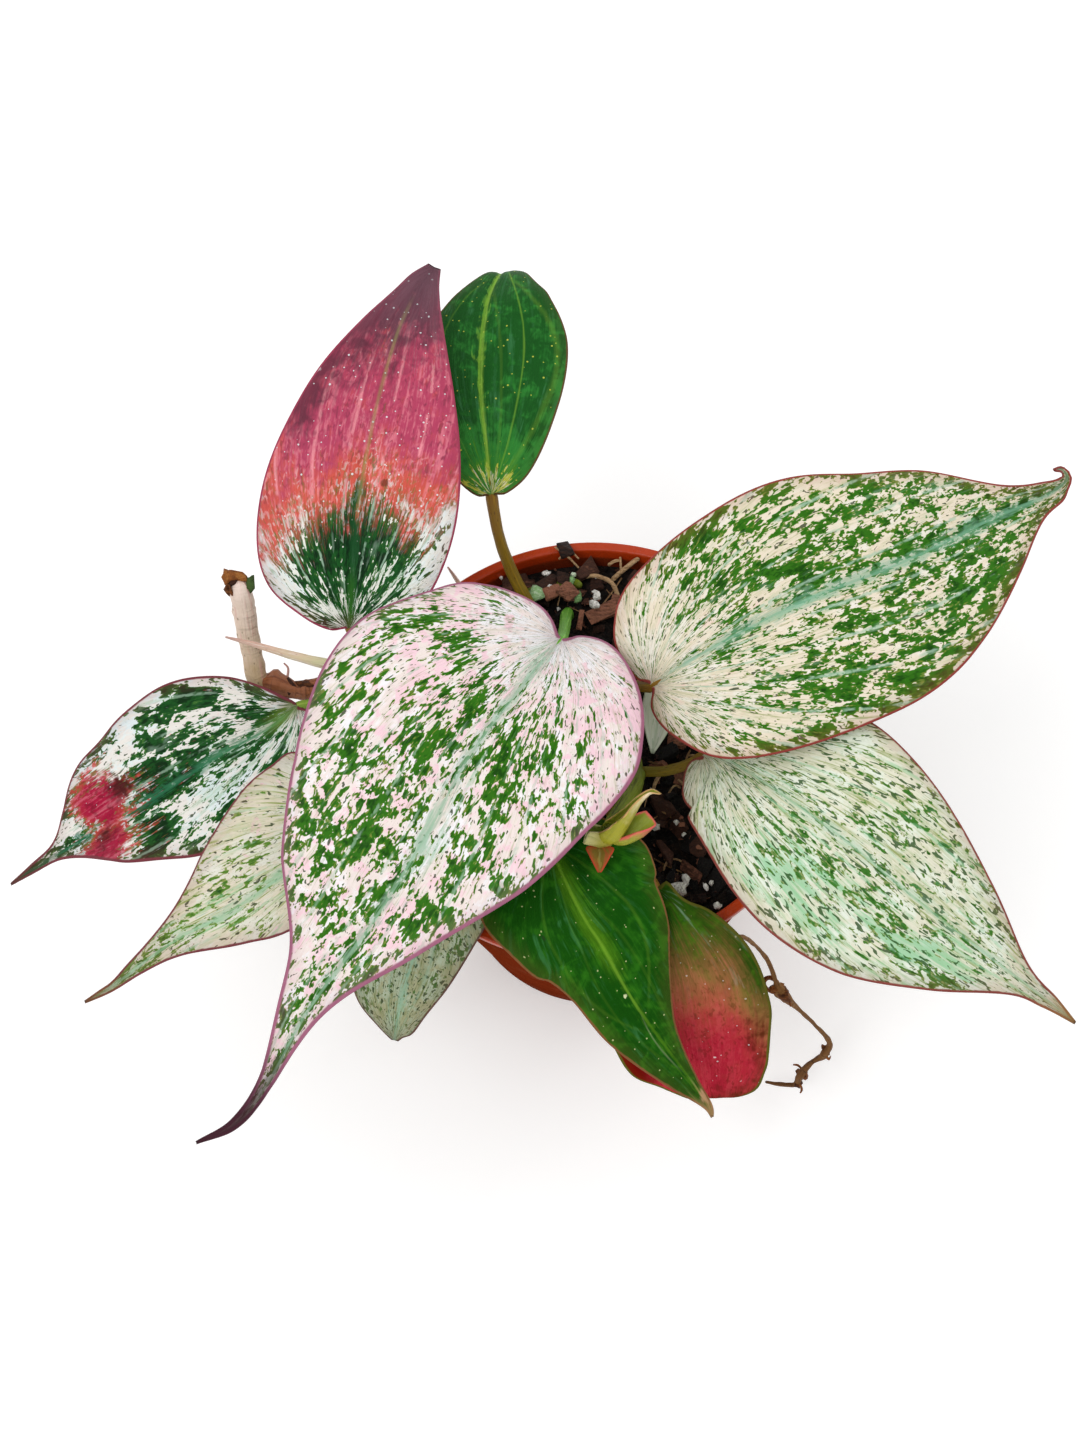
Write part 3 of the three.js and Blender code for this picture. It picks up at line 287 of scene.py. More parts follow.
# Blades: points of the midrib, the left and right edge as (along, across) from the petiole's
# end, the way the blade faces at both ends, and how it folds, bends and ripples
LEAVES = {
    "leaf_centre": dict(
        midrib=[(-4, 9.5, 116), (-13.5, -3.5, 121), (-24.5, -16.5, 121), (-34.5, -30.5, 117),
            (-47, -45, 110), (-61, -57.5, 101), (-71, -68.5, 92), (-79, -75, 86), (-88, -77, 82)],
        left=[(-3, 3.6), (-3, 10.5), (2.5, 18.5), (13.5, 26.5), (23, 29.5), (44.5, 26),
            (69.5, 12.5), (86, 5), (102.5, 1.8), (119.5, 1.1)],
        right=[(-3, 4.5), (-4, 9.5), (-1.5, 19), (5, 27), (26.5, 36.5), (43.5, 33.5), (71, 23),
            (88, 9), (108.5, 2.6), (122.5, 1.4)],
        face_base=(0, -0.1, 1), face_tip=(-0.2, -0.3, 1), fold=0.28, bend=0.016, wave=0.8,
        wave_length=46, half_width=34, phase=0,
    ),
    "leaf_right_upper": dict(
        midrib=[(13, -1.5, 112), (23.5, 2, 117), (44.5, 9, 121), (66, 15.5, 121), (89.5, 27, 116),
            (102, 33.5, 111), (108, 38.5, 108), (107.5, 40.5, 109), (104.5, 39, 112)],
        left=[(-2, 3.7), (-1, 13), (8, 21), (25, 25), (44, 25), (70.5, 16.5), (87.5, 6), (100, 3),
            (106, 1.6)],
        right=[(-2.5, 4.7), (-1, 12), (6, 21.5), (23, 27), (46.5, 28), (64.5, 21.5), (80.5, 12.5),
            (94, 4.7), (102, 2.9), (106.5, 1.5)],
        face_base=(0, -0.2, 1), face_tip=(0.2, -0.2, 1), fold=0.2, bend=0.014, wave=0.9,
        wave_length=42, half_width=27, phase=1,
    ),
    "leaf_right_lower": dict(
        midrib=[(22.5, -13, 101), (27.5, -16, 103), (39.5, -29.5, 107), (48, -38, 106),
            (57, -46.5, 102), (66, -54, 97), (76, -61, 90), (86.5, -68, 82), (91.5, -71.5, 78)],
        left=[(-2.5, 2), (-3, 6.5), (6, 16), (17, 21.5), (30.5, 22.5), (46.5, 19.5), (65, 12),
            (82, 3.6), (92, 1.7)],
        right=[(-2.5, 1.8), (-3, 6), (-0.2, 12), (14, 17.9), (32.5, 24), (49.5, 21.7), (65.5, 13.3),
            (81.5, 4.1), (90, 1.9)],
        face_base=(0, -0.2, 1), face_tip=(0.2, -0.4, 1), fold=0.2, bend=0.015, wave=0.8,
        wave_length=38, half_width=22, phase=2,
    ),
    "leaf_back_red": dict(
        midrib=[(-49, 25.5, 101), (-46.5, 37.5, 109), (-43.5, 48, 116), (-40, 59.5, 121),
            (-36.5, 70, 124), (-31.5, 84, 126), (-26.5, 94.5, 126), (-22.5, 101, 125)],
        left=[(-0.5, 4.4), (2, 10.2), (8.5, 18.2), (19, 21.6), (35, 20), (54, 14.4), (73, 5.8),
            (82, 3.1)],
        right=[(-0.5, 4.4), (3, 12), (11, 18.4), (26.5, 21.4), (44, 19.3), (66, 11.2), (77.5, 5.8)],
        face_base=(0, -0.3, 1), face_tip=(0, -0.2, 1), fold=0.16, bend=0.014, wave=0.6,
        wave_length=34, half_width=21, phase=0, tip_half_width=1.6,
    ),
    "leaf_back_green": dict(
        midrib=[(-15.5, 53.5, 104), (-15.5, 64, 110), (-15.5, 74.5, 114), (-14.5, 85, 115),
            (-12.5, 96.5, 114), (-10.5, 104, 112), (-8, 111.5, 108), (-7.5, 116, 99)],
        left=[(0, 3), (2.5, 6), (10, 12), (21, 15.5), (34, 14.8), (46.5, 9.6), (53, 6.6), (60, 3.6),
            (67, 1.8)],
        right=[(0, 3.5), (3.5, 8.6), (11, 13.7), (22, 18.5), (36.5, 19.7), (51, 14.5), (59, 8.5),
            (65, 4), (70, 1.5)],
        face_base=(0, -0.2, 1), face_tip=(0, 0.6, 1), fold=0.16, bend=0.02, wave=0.5,
        wave_length=30, half_width=20, phase=0,
    ),
    "leaf_left_pink": dict(
        midrib=[(-62, 12, 94), (-68.5, 8, 93), (-81, 3, 91), (-96.5, -2.5, 85), (-107, -4.5, 79),
            (-116.5, -6, 73), (-125, -7, 67), (-135, -8.5, 60)],
        left=[(-1, 3), (0, 9), (8, 17), (20, 20.5), (31.5, 18.7), (41, 14), (49, 10.4), (59.5, 4.6),
            (68, 1.6), (77, 0.9)],
        right=[(0.7, 2.6), (5.5, 10.8), (20, 19.4), (32, 19.6), (51, 16.5), (61.5, 7.8), (68.5, 3),
            (77, 1.5)],
        face_base=(0, -0.2, 1), face_tip=(-0.5, -0.2, 1), fold=0.34, bend=0.018, wave=0.9,
        wave_length=30, half_width=19, phase=1,
    ),
    "leaf_left_pale": dict(
        midrib=[(-49, -19.5, 100), (-66, -28, 97), (-78, -32.5, 92), (-90, -35, 86),
            (-100, -37.5, 79), (-107.5, -40, 74), (-114.5, -41.5, 70)],
        left=[(-2, 3.5), (-1.5, 6.5), (3, 10), (12, 12.5), (23.5, 11.6), (31, 8.8), (40, 5.8),
            (50.5, 3.3), (60.5, 2), (71.5, 0.9)],
        right=[(-3, 5), (-4, 12), (3, 20), (8.5, 20.4), (17, 19.5), (31, 13.7), (47, 5), (65, 1.4),
            (72, 0.8)],
        face_base=(-0.1, -0.2, 1), face_tip=(-0.3, -0.3, 1), fold=0.4, bend=0.02, wave=0.5,
        wave_length=30, half_width=18, phase=0,
    ),
    "leaf_front_hanging": dict(
        midrib=[(-33, -29, 99), (-37.5, -37.5, 92.5), (-43, -43.5, 77), (-47.5, -48.5, 63.5),
            (-50, -53, 54)],
        left=[(-2, 4), (-1, 9), (7.5, 12.4), (18, 11.4), (34.5, 8.5), (50, 4.5), (53.5, 1.8)],
        right=[(-2, 4), (-1, 8), (8, 12.5), (22, 14), (34, 13), (44, 10), (51, 4.7)],
        face_base=(0, -0.6, 1), face_tip=(-0.3, -1, 0.6), fold=0.12, bend=0.016, wave=0.3,
        wave_length=30, half_width=14, phase=0, tip_half_width=0.8,
    ),
    "leaf_front_green": dict(
        midrib=[(-11.5, -28.5, 102), (-6.5, -43.5, 100), (-3, -49.5, 96), (1, -57.5, 90),
            (5, -63.5, 83.5), (10.5, -70.5, 75), (15, -76.5, 68), (16.5, -79.5, 64)],
        left=[(-2, 4), (-1.5, 10), (6.5, 17.2), (14, 17.7), (27, 14.5), (32.5, 12), (48.5, 4.5),
            (61.5, 1.6), (70, 1)],
        right=[(-2, 4), (-2.5, 10), (3, 17), (11, 18.6), (19, 15.5), (30.5, 10.8), (42.5, 9),
            (57, 5.2), (69, 1)],
        face_base=(0, -0.2, 1), face_tip=(0.3, -0.5, 1), groove=0.1, fold=0.16, bend=0.018,
        wave=0.8, wave_length=26, half_width=18, phase=2,
    ),
    "leaf_front_red": dict(
        midrib=[(9.5, -38, 93.5), (9.5, -46.5, 91.5), (10.5, -55, 80), (11.5, -62.5, 68),
            (13.5, -69, 57), (15, -72, 51), (15.5, -69.5, 45), (15.5, -67.5, 42)],
        left=[(-1, 2.5), (3, 5.6), (6, 10.5), (11.5, 14.7), (18.5, 18), (27, 19.8), (38, 20),
            (54, 15.5), (58.5, 9.4), (60.5, 4), (64, 1.6)],
        right=[(-1, 3), (1, 8), (8, 13), (18, 15.5), (28, 15.5), (37.5, 14), (47, 11.9),
            (52.5, 6.4), (56.5, 2.8), (62, 1.4)],
        face_base=(0, -0.4, 1), face_tip=(-0.15, -1, 0.5), fold=0.1, bend=0.01, wave=0.3,
        wave_length=26, half_width=18, phase=0,
    ),
    "leaf_small_pale": dict(
        midrib=[(15.5, 5.5, 101), (15.2, 0.4, 102), (14, -4.8, 101), (12.3, -10.3, 98)],
        left=[(2, 2.6), (7, 3.6), (12, 2.6)], right=[(2, 2.6), (7, 3.6), (12, 2.6)],
        face_base=(0, -0.2, 1), face_tip=(0, -0.3, 1), fold=0.3, bend=0.05, wave=0, wave_length=10,
        half_width=4, phase=0, rib_depth=0.3,
    ),
    "bud_leaf_pointed": dict(
        midrib=[(-1.1, -32.8, 106.8), (-1.4, -35, 106.6), (-1.8, -37.8, 105.2)],
        left=[(0.6, 2.9), (2.7, 1.9)], right=[(0.6, 2.9), (2.7, 1.9)], face_base=(0, -0.3, 1),
        face_tip=(0, -0.5, 1), fold=0.35, bend=0.08, wave=0, wave_length=10, half_width=3, phase=0,
        rib_depth=0.2,
    ),
}

for number, leaf in enumerate(LEAVES.values()):
    leaf.setdefault("tip_half_width", TIP_HALF_WIDTH)
    leaf.setdefault("rib_depth", RIB_DEPTH)
    leaf.setdefault("groove", GROOVE)
    leaf["seed"] = 7.3 * number


# Meshes

def add_object(name, data):
    thing = bpy.data.objects.new(name, data)
    bpy.context.scene.collection.objects.link(thing)
    return thing


def add_piece(name, points, faces, material, replaces=(), data=None):
    """A closed, smooth mesh that rides on the pot. Points and vector data are in millimetres."""
    mesh = bpy.data.meshes.new(name)
    mesh.from_pydata((np.asarray(points) * MM).tolist(), [], faces)
    for key, values in (data or {}).items():
        values = np.asarray(values, np.float32)
        if values.ndim == 2:
            layer = mesh.attributes.new(key, "FLOAT_VECTOR", "POINT")
            layer.data.foreach_set("vector", values.ravel())
        else:
            layer = mesh.attributes.new(key, "FLOAT", "POINT")
            layer.data.foreach_set("value", values)
    mesh.polygons.foreach_set("use_smooth", [True] * len(mesh.polygons))
    mesh.materials.append(material)
    mesh.update()
    piece = add_object(name, mesh)
    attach(piece, BODY)
    if replaces:
        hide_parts(*replaces)
    return piece


def grid_faces(rows, columns, first=0):
    """Quads of a grid of points, rows by columns, that is numbered row by row."""
    index = first + np.arange(rows * columns).reshape(rows, columns)
    quads = [index[:-1, :-1], index[:-1, 1:], index[1:, 1:], index[1:, :-1]]
    return np.stack(quads, axis=-1).reshape(-1, 4)


def ring_faces(rows, sides):
    """Faces of a closed form: rings of points, then one middle point for either end."""
    faces = []
    for row in range(rows - 1):
        for column in range(sides):
            after = (column + 1) % sides
            low, high = row * sides, (row + 1) * sides
            faces.append((low + column, low + after, high + after, high + column))
    last = (rows - 1) * sides
    for column in range(sides):
        after = (column + 1) % sides
        faces.append((rows * sides, after, column))
        faces.append((rows * sides + 1, last + column, last + after))
    return faces


def shell(centre, facing, above, beneath):
    """A thin closed sheet about a grid of centre points, which thins out to its rim.

    Gives its points, its faces and which grid points make the rim, where both sides meet.
    """
    rows, columns = centre.shape[:2]
    rim = np.zeros((rows, columns), bool)
    rim[0], rim[-1], rim[:, 0], rim[:, -1] = True, True, True, True
    above, beneath = np.where(rim, 0, above), np.where(rim, 0, beneath)
    upper = centre + facing * above[..., None]
    lower = centre - facing * beneath[..., None]
    under = np.arange(rows * columns).reshape(rows, columns)
    under[~rim] = rows * columns + np.arange((~rim).sum())
    points = np.vstack([upper.reshape(-1, 3), lower[~rim]])
    corners = [under[:-1, :-1], under[1:, :-1], under[1:, 1:], under[:-1, 1:]]
    bottom = np.stack(corners, axis=-1).reshape(-1, 4)
    return points, np.vstack([grid_faces(rows, columns), bottom]).tolist(), rim


def both_sides(rim, values):
    """The values of a grid's points, and again those that its under side has points for."""
    return np.concatenate([values.reshape(-1, *values.shape[2:]), values[~rim]])


def under_side(rim):
    """0 on the upper side of a shell and its rim, and 1 on the under side."""
    return np.concatenate([np.zeros(rim.size), np.ones((~rim).sum())])


def ease(value, low, high):
    t = np.clip((value - low) / (high - low), 0, 1)
    return t * t * (3 - 2 * t)


def patches(along, across, spots):
    """Soft patches, each (weight, along, across, reach along, reach across), added up."""
    total = np.zeros_like(along)
    for weight, a, w, reach_a, reach_w in spots:
        away = ((along - a) / reach_a) ** 2 + ((across - w) / reach_w) ** 2
        total += weight * np.exp(-away)
    return total


# Leaves

def outline_of(leaf, side, length):
    points = [(0, NOTCH_HALF_WIDTH), *side, (length, leaf["tip_half_width"])]
    return LengthCurve(points)


def blade_half(leaf, rib, way, rows, columns):
    """Grid of one half of a blade, from the midrib to the edge, in blade measures."""
    edge = outline_of(leaf, leaf["right" if way > 0 else "left"], rib.length)
    share = np.linspace(0, 1, rows + 1)
    start = rib.length * share ** VEIN_LEAD
    goal = edge.point(edge.length * share)
    reach = np.hypot(goal[:, 0] - start, goal[:, 1])
    band = np.minimum(EDGE_BAND / reach, 0.5)
    inner = np.linspace(0, 1, columns)[None, :] * (1 - band)[:, None]
    outer = 1 - band[:, None] * np.array(EDGE_STEPS)[None, :]
    u = np.hstack([inner, outer])
    along = start[:, None] + (goal[:, 0] - start)[:, None] * u ** VEIN_LEAD
    across = goal[:, 1][:, None] * u
    steps = np.hypot(np.diff(along, axis=1), np.diff(across, axis=1))
    travelled = np.hstack([np.zeros((rows + 1, 1)), np.cumsum(steps, axis=1)])
    rim = edge.point(np.linspace(0, edge.length, RIM_SAMPLES))
    flat = np.stack([along.ravel(), across.ravel()], axis=-1)
    away = np.empty(len(flat))
    for first in range(0, len(flat), BATCH):
        part = flat[first:first + BATCH]
        gaps = np.linalg.norm(part[:, None, :] - rim[None, :, :], axis=-1)
        away[first:first + BATCH] = gaps.min(axis=1)
    away = away.reshape(along.shape)
    away[:, -1] = 0
    sweep, reached = vein_sweep(along, across, rib.length)
    return dict(along=along, across=way * across, u=u, travelled=travelled, edge=away,
                sweep=way * sweep, reached=reached)


def vein_sweep(along, across, length):
    """Places on veins that arch from the petiole to the tip, as arcs of circles through both.

    Gives how far out the arc bulges, 0 on the midrib, and how far along it the place is.
    """
    from_base = np.maximum(np.hypot(along, across), 1e-3)
    from_tip = np.maximum(np.hypot(length - along, across), 1e-3)
    cosine = (from_base ** 2 + from_tip ** 2 - length ** 2) / (2 * from_base * from_tip)
    opening = math.pi - np.arccos(np.clip(cosine, -1, 1))
    return opening * length / 4, length * from_base / (from_base + from_tip)


def relief(leaf, grid, length):
    """How far the blade's surface stands up from its plain curved form, in millimetres."""
    along, across = grid["along"], grid["across"]
    phase = 2 * math.pi * grid["sweep"] / VEIN_SPACING
    spread = ease(np.abs(grid["sweep"]), 1, 6) * ease(grid["edge"], 0.2, 4)
    quilt = QUILT * np.cos(phase) * spread
    fade = ease(along, -2, 6) * (1 - ease(along, 0.85 * length, length))
    groove = -leaf["groove"] * np.exp(-(across / 0.8) ** 2) * fade
    sway = 0.3 * np.sin(0.21 * along + leaf["seed"]) * np.sin(0.16 * across + 1.3 * leaf["seed"])
    roll = -0.3 * (1 - ease(grid["edge"], 0, 2.4)) * ease(grid["travelled"], 1, 6)
    return quilt + groove + sway * ease(np.abs(across), 0, 9) + roll


def blade_grid(leaf):
    rib = LengthCurve(leaf["midrib"])
    longest = max(outline_of(leaf, leaf[side], rib.length).length for side in ("left", "right"))
    rows = max(int(longest / BLADE_CELL), 16)
    columns = max(int(leaf["half_width"] / BLADE_CELL), 6)
    left = blade_half(leaf, rib, -1, rows, columns)
    right = blade_half(leaf, rib, 1, rows, columns)
    grid = {key: np.hstack([left[key][:, :0:-1], right[key]]) for key in left}
    return rib, grid


def leaf_piece(name, leaf, material, look):
    rib, grid = blade_grid(leaf)
    along, across, u = grid["along"], grid["across"], grid["u"]
    centre, facing = blade_surface(leaf, rib, along, across)
    centre = centre + facing * relief(leaf, grid, rib.length)[..., None]
    half = BLADE_HALF_THICKNESS * np.sqrt(np.clip(grid["edge"] / 0.35, 0, 1))
    ridge = leaf["rib_depth"] * (1 - u) ** 3 * ease(rib.length - along, 0, 30)
    points, faces, rim = shell(centre, facing, half, half + ridge)
    seed = np.full_like(along, leaf["seed"] * 11)
    flow = np.stack([grid["sweep"], grid["reached"], seed], axis=-1)
    place = np.stack([along, across, np.full_like(along, leaf["seed"])], axis=-1)
    values = {"flow": flow, "place": place, "edge": grid["edge"]}
    values["share"] = np.clip(along / rib.length, 0, 1)
    for tone in TONES:
        amount = look.get(tone + "_base", 0) + patches(along, across, look.get(tone, []))
        if tone + "_ramp" in look:
            low, high, spread, slant = look[tone + "_ramp"]
            reach = along + spread * np.abs(across) + slant * across
            amount = amount + ease(reach, low, high)
        values[tone] = amount
    data = {key: both_sides(rim, value) for key, value in values.items()}
    data["under"] = under_side(rim)
    return add_piece(name + "_blade", points, faces, material, [name], data)


# Leaf colours

TONES = ("green", "pink", "red", "dark", "veil")
PLAIN_LOOK = dict(
    cream="e8dcd2", white="f3eeee", blush="f1cbd3", veil_colour="9fbfa6", olive="7a8a3a",
    leaf="2f6c10", deep="164406", dash_colour="2c3f1a", scribble_colour="7f8050", scribble=0.6,
    pink_cells=0.3, band="8fb497", band_width=1.3, band_strength=0.6, margin="8a4a4c",
    margin_width=0.8, edge_tint_and_shade=0.25, tint_and_shade_reach=4.5, coral="d9604a", rose="b0304c",
    maroon="4a1d2c", red_soft=0.16, red_streak=0.6, blotch=0.5, bits=0.65, fine=0.42, mist=0.2,
    speck_size=0.13, dash=0.9, dash_level=0.3, pinks=0.4, fringe=0.8, rose_at=(0.5, 0.95),
    dash_scale=(1.3, 0.6, 1), fine_scale=(1.35, 0.7, 1), speck=0.8, below="b0b89a",
    blotch_scale=(0.22, 0.12, 1), bits_scale=(0.7, 0.36, 1), line_green=0.4, shade=0.3, vein=0.5,
    rib_line=0.5, red_vein=0.8, gloss=0.08,
)


def leaf_material(name, look):
    """Marbling that follows the side veins, with a red, pink or green cast where the look says."""
    s = Shader(name)
    flow = s.data("flow", "Vector")
    place = s.data("place", "Vector")
    along, across, _ = s.split(place)
    edge = s.data("edge")
    green, pink, red, dark, veil = (s.data(tone) for tone in TONES)
    off_midrib = s.math("ABSOLUTE", across)

    blotch = s.noise(flow, look["blotch_scale"], 1, 0.5, 0.6)
    bits = s.noise(flow, look["bits_scale"], 1.6, 0.55, 0.7)
    scraps = s.noise(flow, look["fine_scale"], 1.4, 0.5, 0.8, (7, 2, 0))
    streaks = s.noise(flow, (2.2, 0.11, 1), 2, 0.6, 0.3, (3, 1, 0))
    clouds = s.noise(place, (look["pink_cells"], look["pink_cells"], 1), 2, 0.5, 0.8)
    wash = s.noise(flow, (0.5, 0.07, 1), 3, 0.6, 0.6, (9, 4, 0))

    sweep, reached, _ = s.split(flow)
    to_vein = VEIN_SPACING / 2 - s.math("PINGPONG", sweep, VEIN_SPACING / 2)
    vein = s.ease(to_vein + scraps * 0.5, 0.5, 0.1) * s.ease(along + clouds * 20, 2, 14)
    vein = vein * s.ease(wash + clouds, -0.25, 0.15) * look["vein"]
    cover = green + blotch * look["blotch"] + bits * look["bits"] + scraps * look["fine"]
    mask = s.ease(cover, 0.48, 0.52)
    depth = cover + streaks * 0.25
    greens = s.mix(s.ease(depth, 0.48, 0.62), look["olive"], look["leaf"])
    greens = s.mix(s.ease(depth + clouds * 0.5, 0.6, 1.05), greens, look["deep"])
    greens = s.mix(s.ease(wash + clouds * 0.3, 0.15, 0.5) * 0.3, greens, look["veil_colour"])

    pale = s.mix(s.ease(blotch + scraps * 0.6, -0.25, 0.2), look["cream"], look["white"])
    pale = s.mix(s.ease(pink + clouds * 1.2 + scraps * 0.5, 0.35, 0.7), pale, look["blush"])
    mist = s.ease(wash + streaks + scraps * 0.6, -0.35, 0.6) * look["mist"]
    pale = s.mix(mist, pale, look["olive"])
    streaked = s.ease(streaks + bits * 0.3, 0.08, 0.4) * look["line_green"]
    pale = s.mix(streaked, pale, look["olive"])
    haze = s.ease(veil + wash * 0.9 + streaks * 0.3, 0.3, 0.75)
    pale = s.mix(haze * 0.75, pale, look["veil_colour"])
    wriggle = s.noise(flow, (0.8, 0.4, 1), 2, 0.5, 1.2, (1, 8, 0))
    outline = s.ease(s.math("ABSOLUTE", wriggle), 0.035, 0.008)
    outline = outline * s.ease(bits + blotch * 0.5, -0.12, 0.1) * look["scribble"]
    pale = s.mix(outline, pale, look["scribble_colour"])

    marks = s.noise(flow, look["dash_scale"], 1.2, 0.5, 0.5, (0, 7, 0))
    dashes = s.ease(marks, look["dash_level"], look["dash_level"] + 0.05)
    pale = s.mix(dashes * look["dash"], pale, look["dash_colour"])
    distance, own = s.cells(place, (1 / 1.5, 1 / 1.5, 1), (3, 5, 0))
    size = look["speck_size"] * (own + 0.3)
    specks = s.ease(distance + scraps * 0.1 - size, 0.02, -0.04) * s.ease(own, 0.35, 0.4)
    greens = s.mix(specks * look["speck"], greens, look["cream"])

    colour = s.mix(mask, pale, greens)
    colour = s.mix(vein, colour, look["veil_colour"])
    shadow = s.ease(to_vein + scraps * 0.3, 1.0, 0.6) * s.ease(to_vein, 0.2, 0.5) * vein
    colour = s.mix(shadow * 0.6, colour, look["leaf"])

    width = s.ease(along, 0, 25) * look["band_width"] * s.ease(edge, 0.3, 9) + 0.15
    band = s.ease(off_midrib + bits * 2.6 + streaks * 2.2, width * 1.1, width * 0.1)
    colour = s.mix(band * look["band_strength"], colour, look["band"])
    rib_line = s.ease(off_midrib, 0.45, 0.1) * s.ease(along, 2, 10)
    colour = s.mix(rib_line * look["rib_line"], colour, look["band"])

    if look.get("red") or look.get("red_ramp"):
        value = red + (streaks * 0.7 + bits * 0.4 + blotch * 0.5) * look["red_streak"]
        drift = red * 0.65 + value * 0.35 + clouds * look["red_streak"] * 0.3
        hue = s.mix(s.ease(drift, *look["rose_at"]), look["coral"], look["rose"])
        pinks = s.ease(wash + streaks + scraps * 0.6, -0.1, 0.5) * look["pinks"]
        hue = s.mix(pinks, hue, look["blush"])
        hue = s.mix(s.ease(bits + scraps, -0.1, -0.6) * 0.4, hue, look["maroon"])
        hue = s.mix(vein * look["red_vein"], hue, look["blush"])
        near = s.ease(value, 0.95, 0.5) * look["fringe"]
        hue = s.mix(near * s.ease(marks + scraps * 0.3, -0.05, -0.2), hue, look["olive"])
        hue = s.mix(near * s.ease(scraps + streaks * 0.4, 0.12, 0.25), hue, look["white"])
        fade = dark + clouds * 0.5 + streaks * 0.35 + bits * 0.25
        hue = s.mix(s.ease(fade, 0.15, 0.85) * 0.92, hue, look["maroon"])
        hue = s.mix(specks * look["speck"], hue, look["white"])
        soft = look["red_soft"]
        colour = s.mix(s.ease(value, 0.5 - soft, 0.5 + soft), colour, hue)

    for offset, start, end, wide, strength, tint in look.get("lines", []):
        turn = s.clamp((along - start) / (end - start)) * math.pi
        centre = s.math("SINE", turn) * offset
        gap = s.math("ABSOLUTE", across - centre)
        ends = s.ease(along, start, start + 6) * s.ease(along, end, end - 8)
        line = s.ease(gap + streaks * wide * 0.6, wide, wide * 0.05) * ends
        colour = s.mix(line * strength, colour, tint)

    for at_along, at_across, wide, strength, tint in look.get("spots", []):
        down, over = along - at_along, across - at_across
        away = s.math("SQRT", down * down + over * over) + bits * 0.8
        colour = s.mix(s.ease(away, wide, wide * 0.6) * strength, colour, tint)

    # A band of margin colour inside the edge: partly the blade's own edge tint, partly painted
    # shade along the rolled-down margin.
    reach = look["tint_and_shade_reach"]
    blush = s.ease(edge + streaks * 2, reach, 0.4) * look["edge_tint_and_shade"]
    colour = s.mix(blush, colour, look["margin"])
    width = look["margin_width"]
    colour = s.mix(s.ease(edge + bits * 0.2, width, width * 0.55), colour, look["margin"])
    if look.get("tip"):
        start, end, strength, tint = look["tip"]
        colour = s.mix(s.ease(along + wash * 8, start, end) * strength, colour, tint)

    below = s.mix(0.55, colour, look["below"])
    colour = s.mix(s.data("under"), colour, below)

    light = 1 + (streaks * 0.5 + wash * 0.5 + scraps * 0.3) * look["shade"]
    shade = s.node("HueSaturation", {"Value": light, "Color": colour})
    colour = Field(s, shade.outputs[0])
    s.bump(streaks * 0.5 + bits * 0.25, 0.00015)
    return s.finish(colour, 0.5 + streaks * 0.15, Specular_IOR_Level=look["gloss"])


LIME = "86b83a"

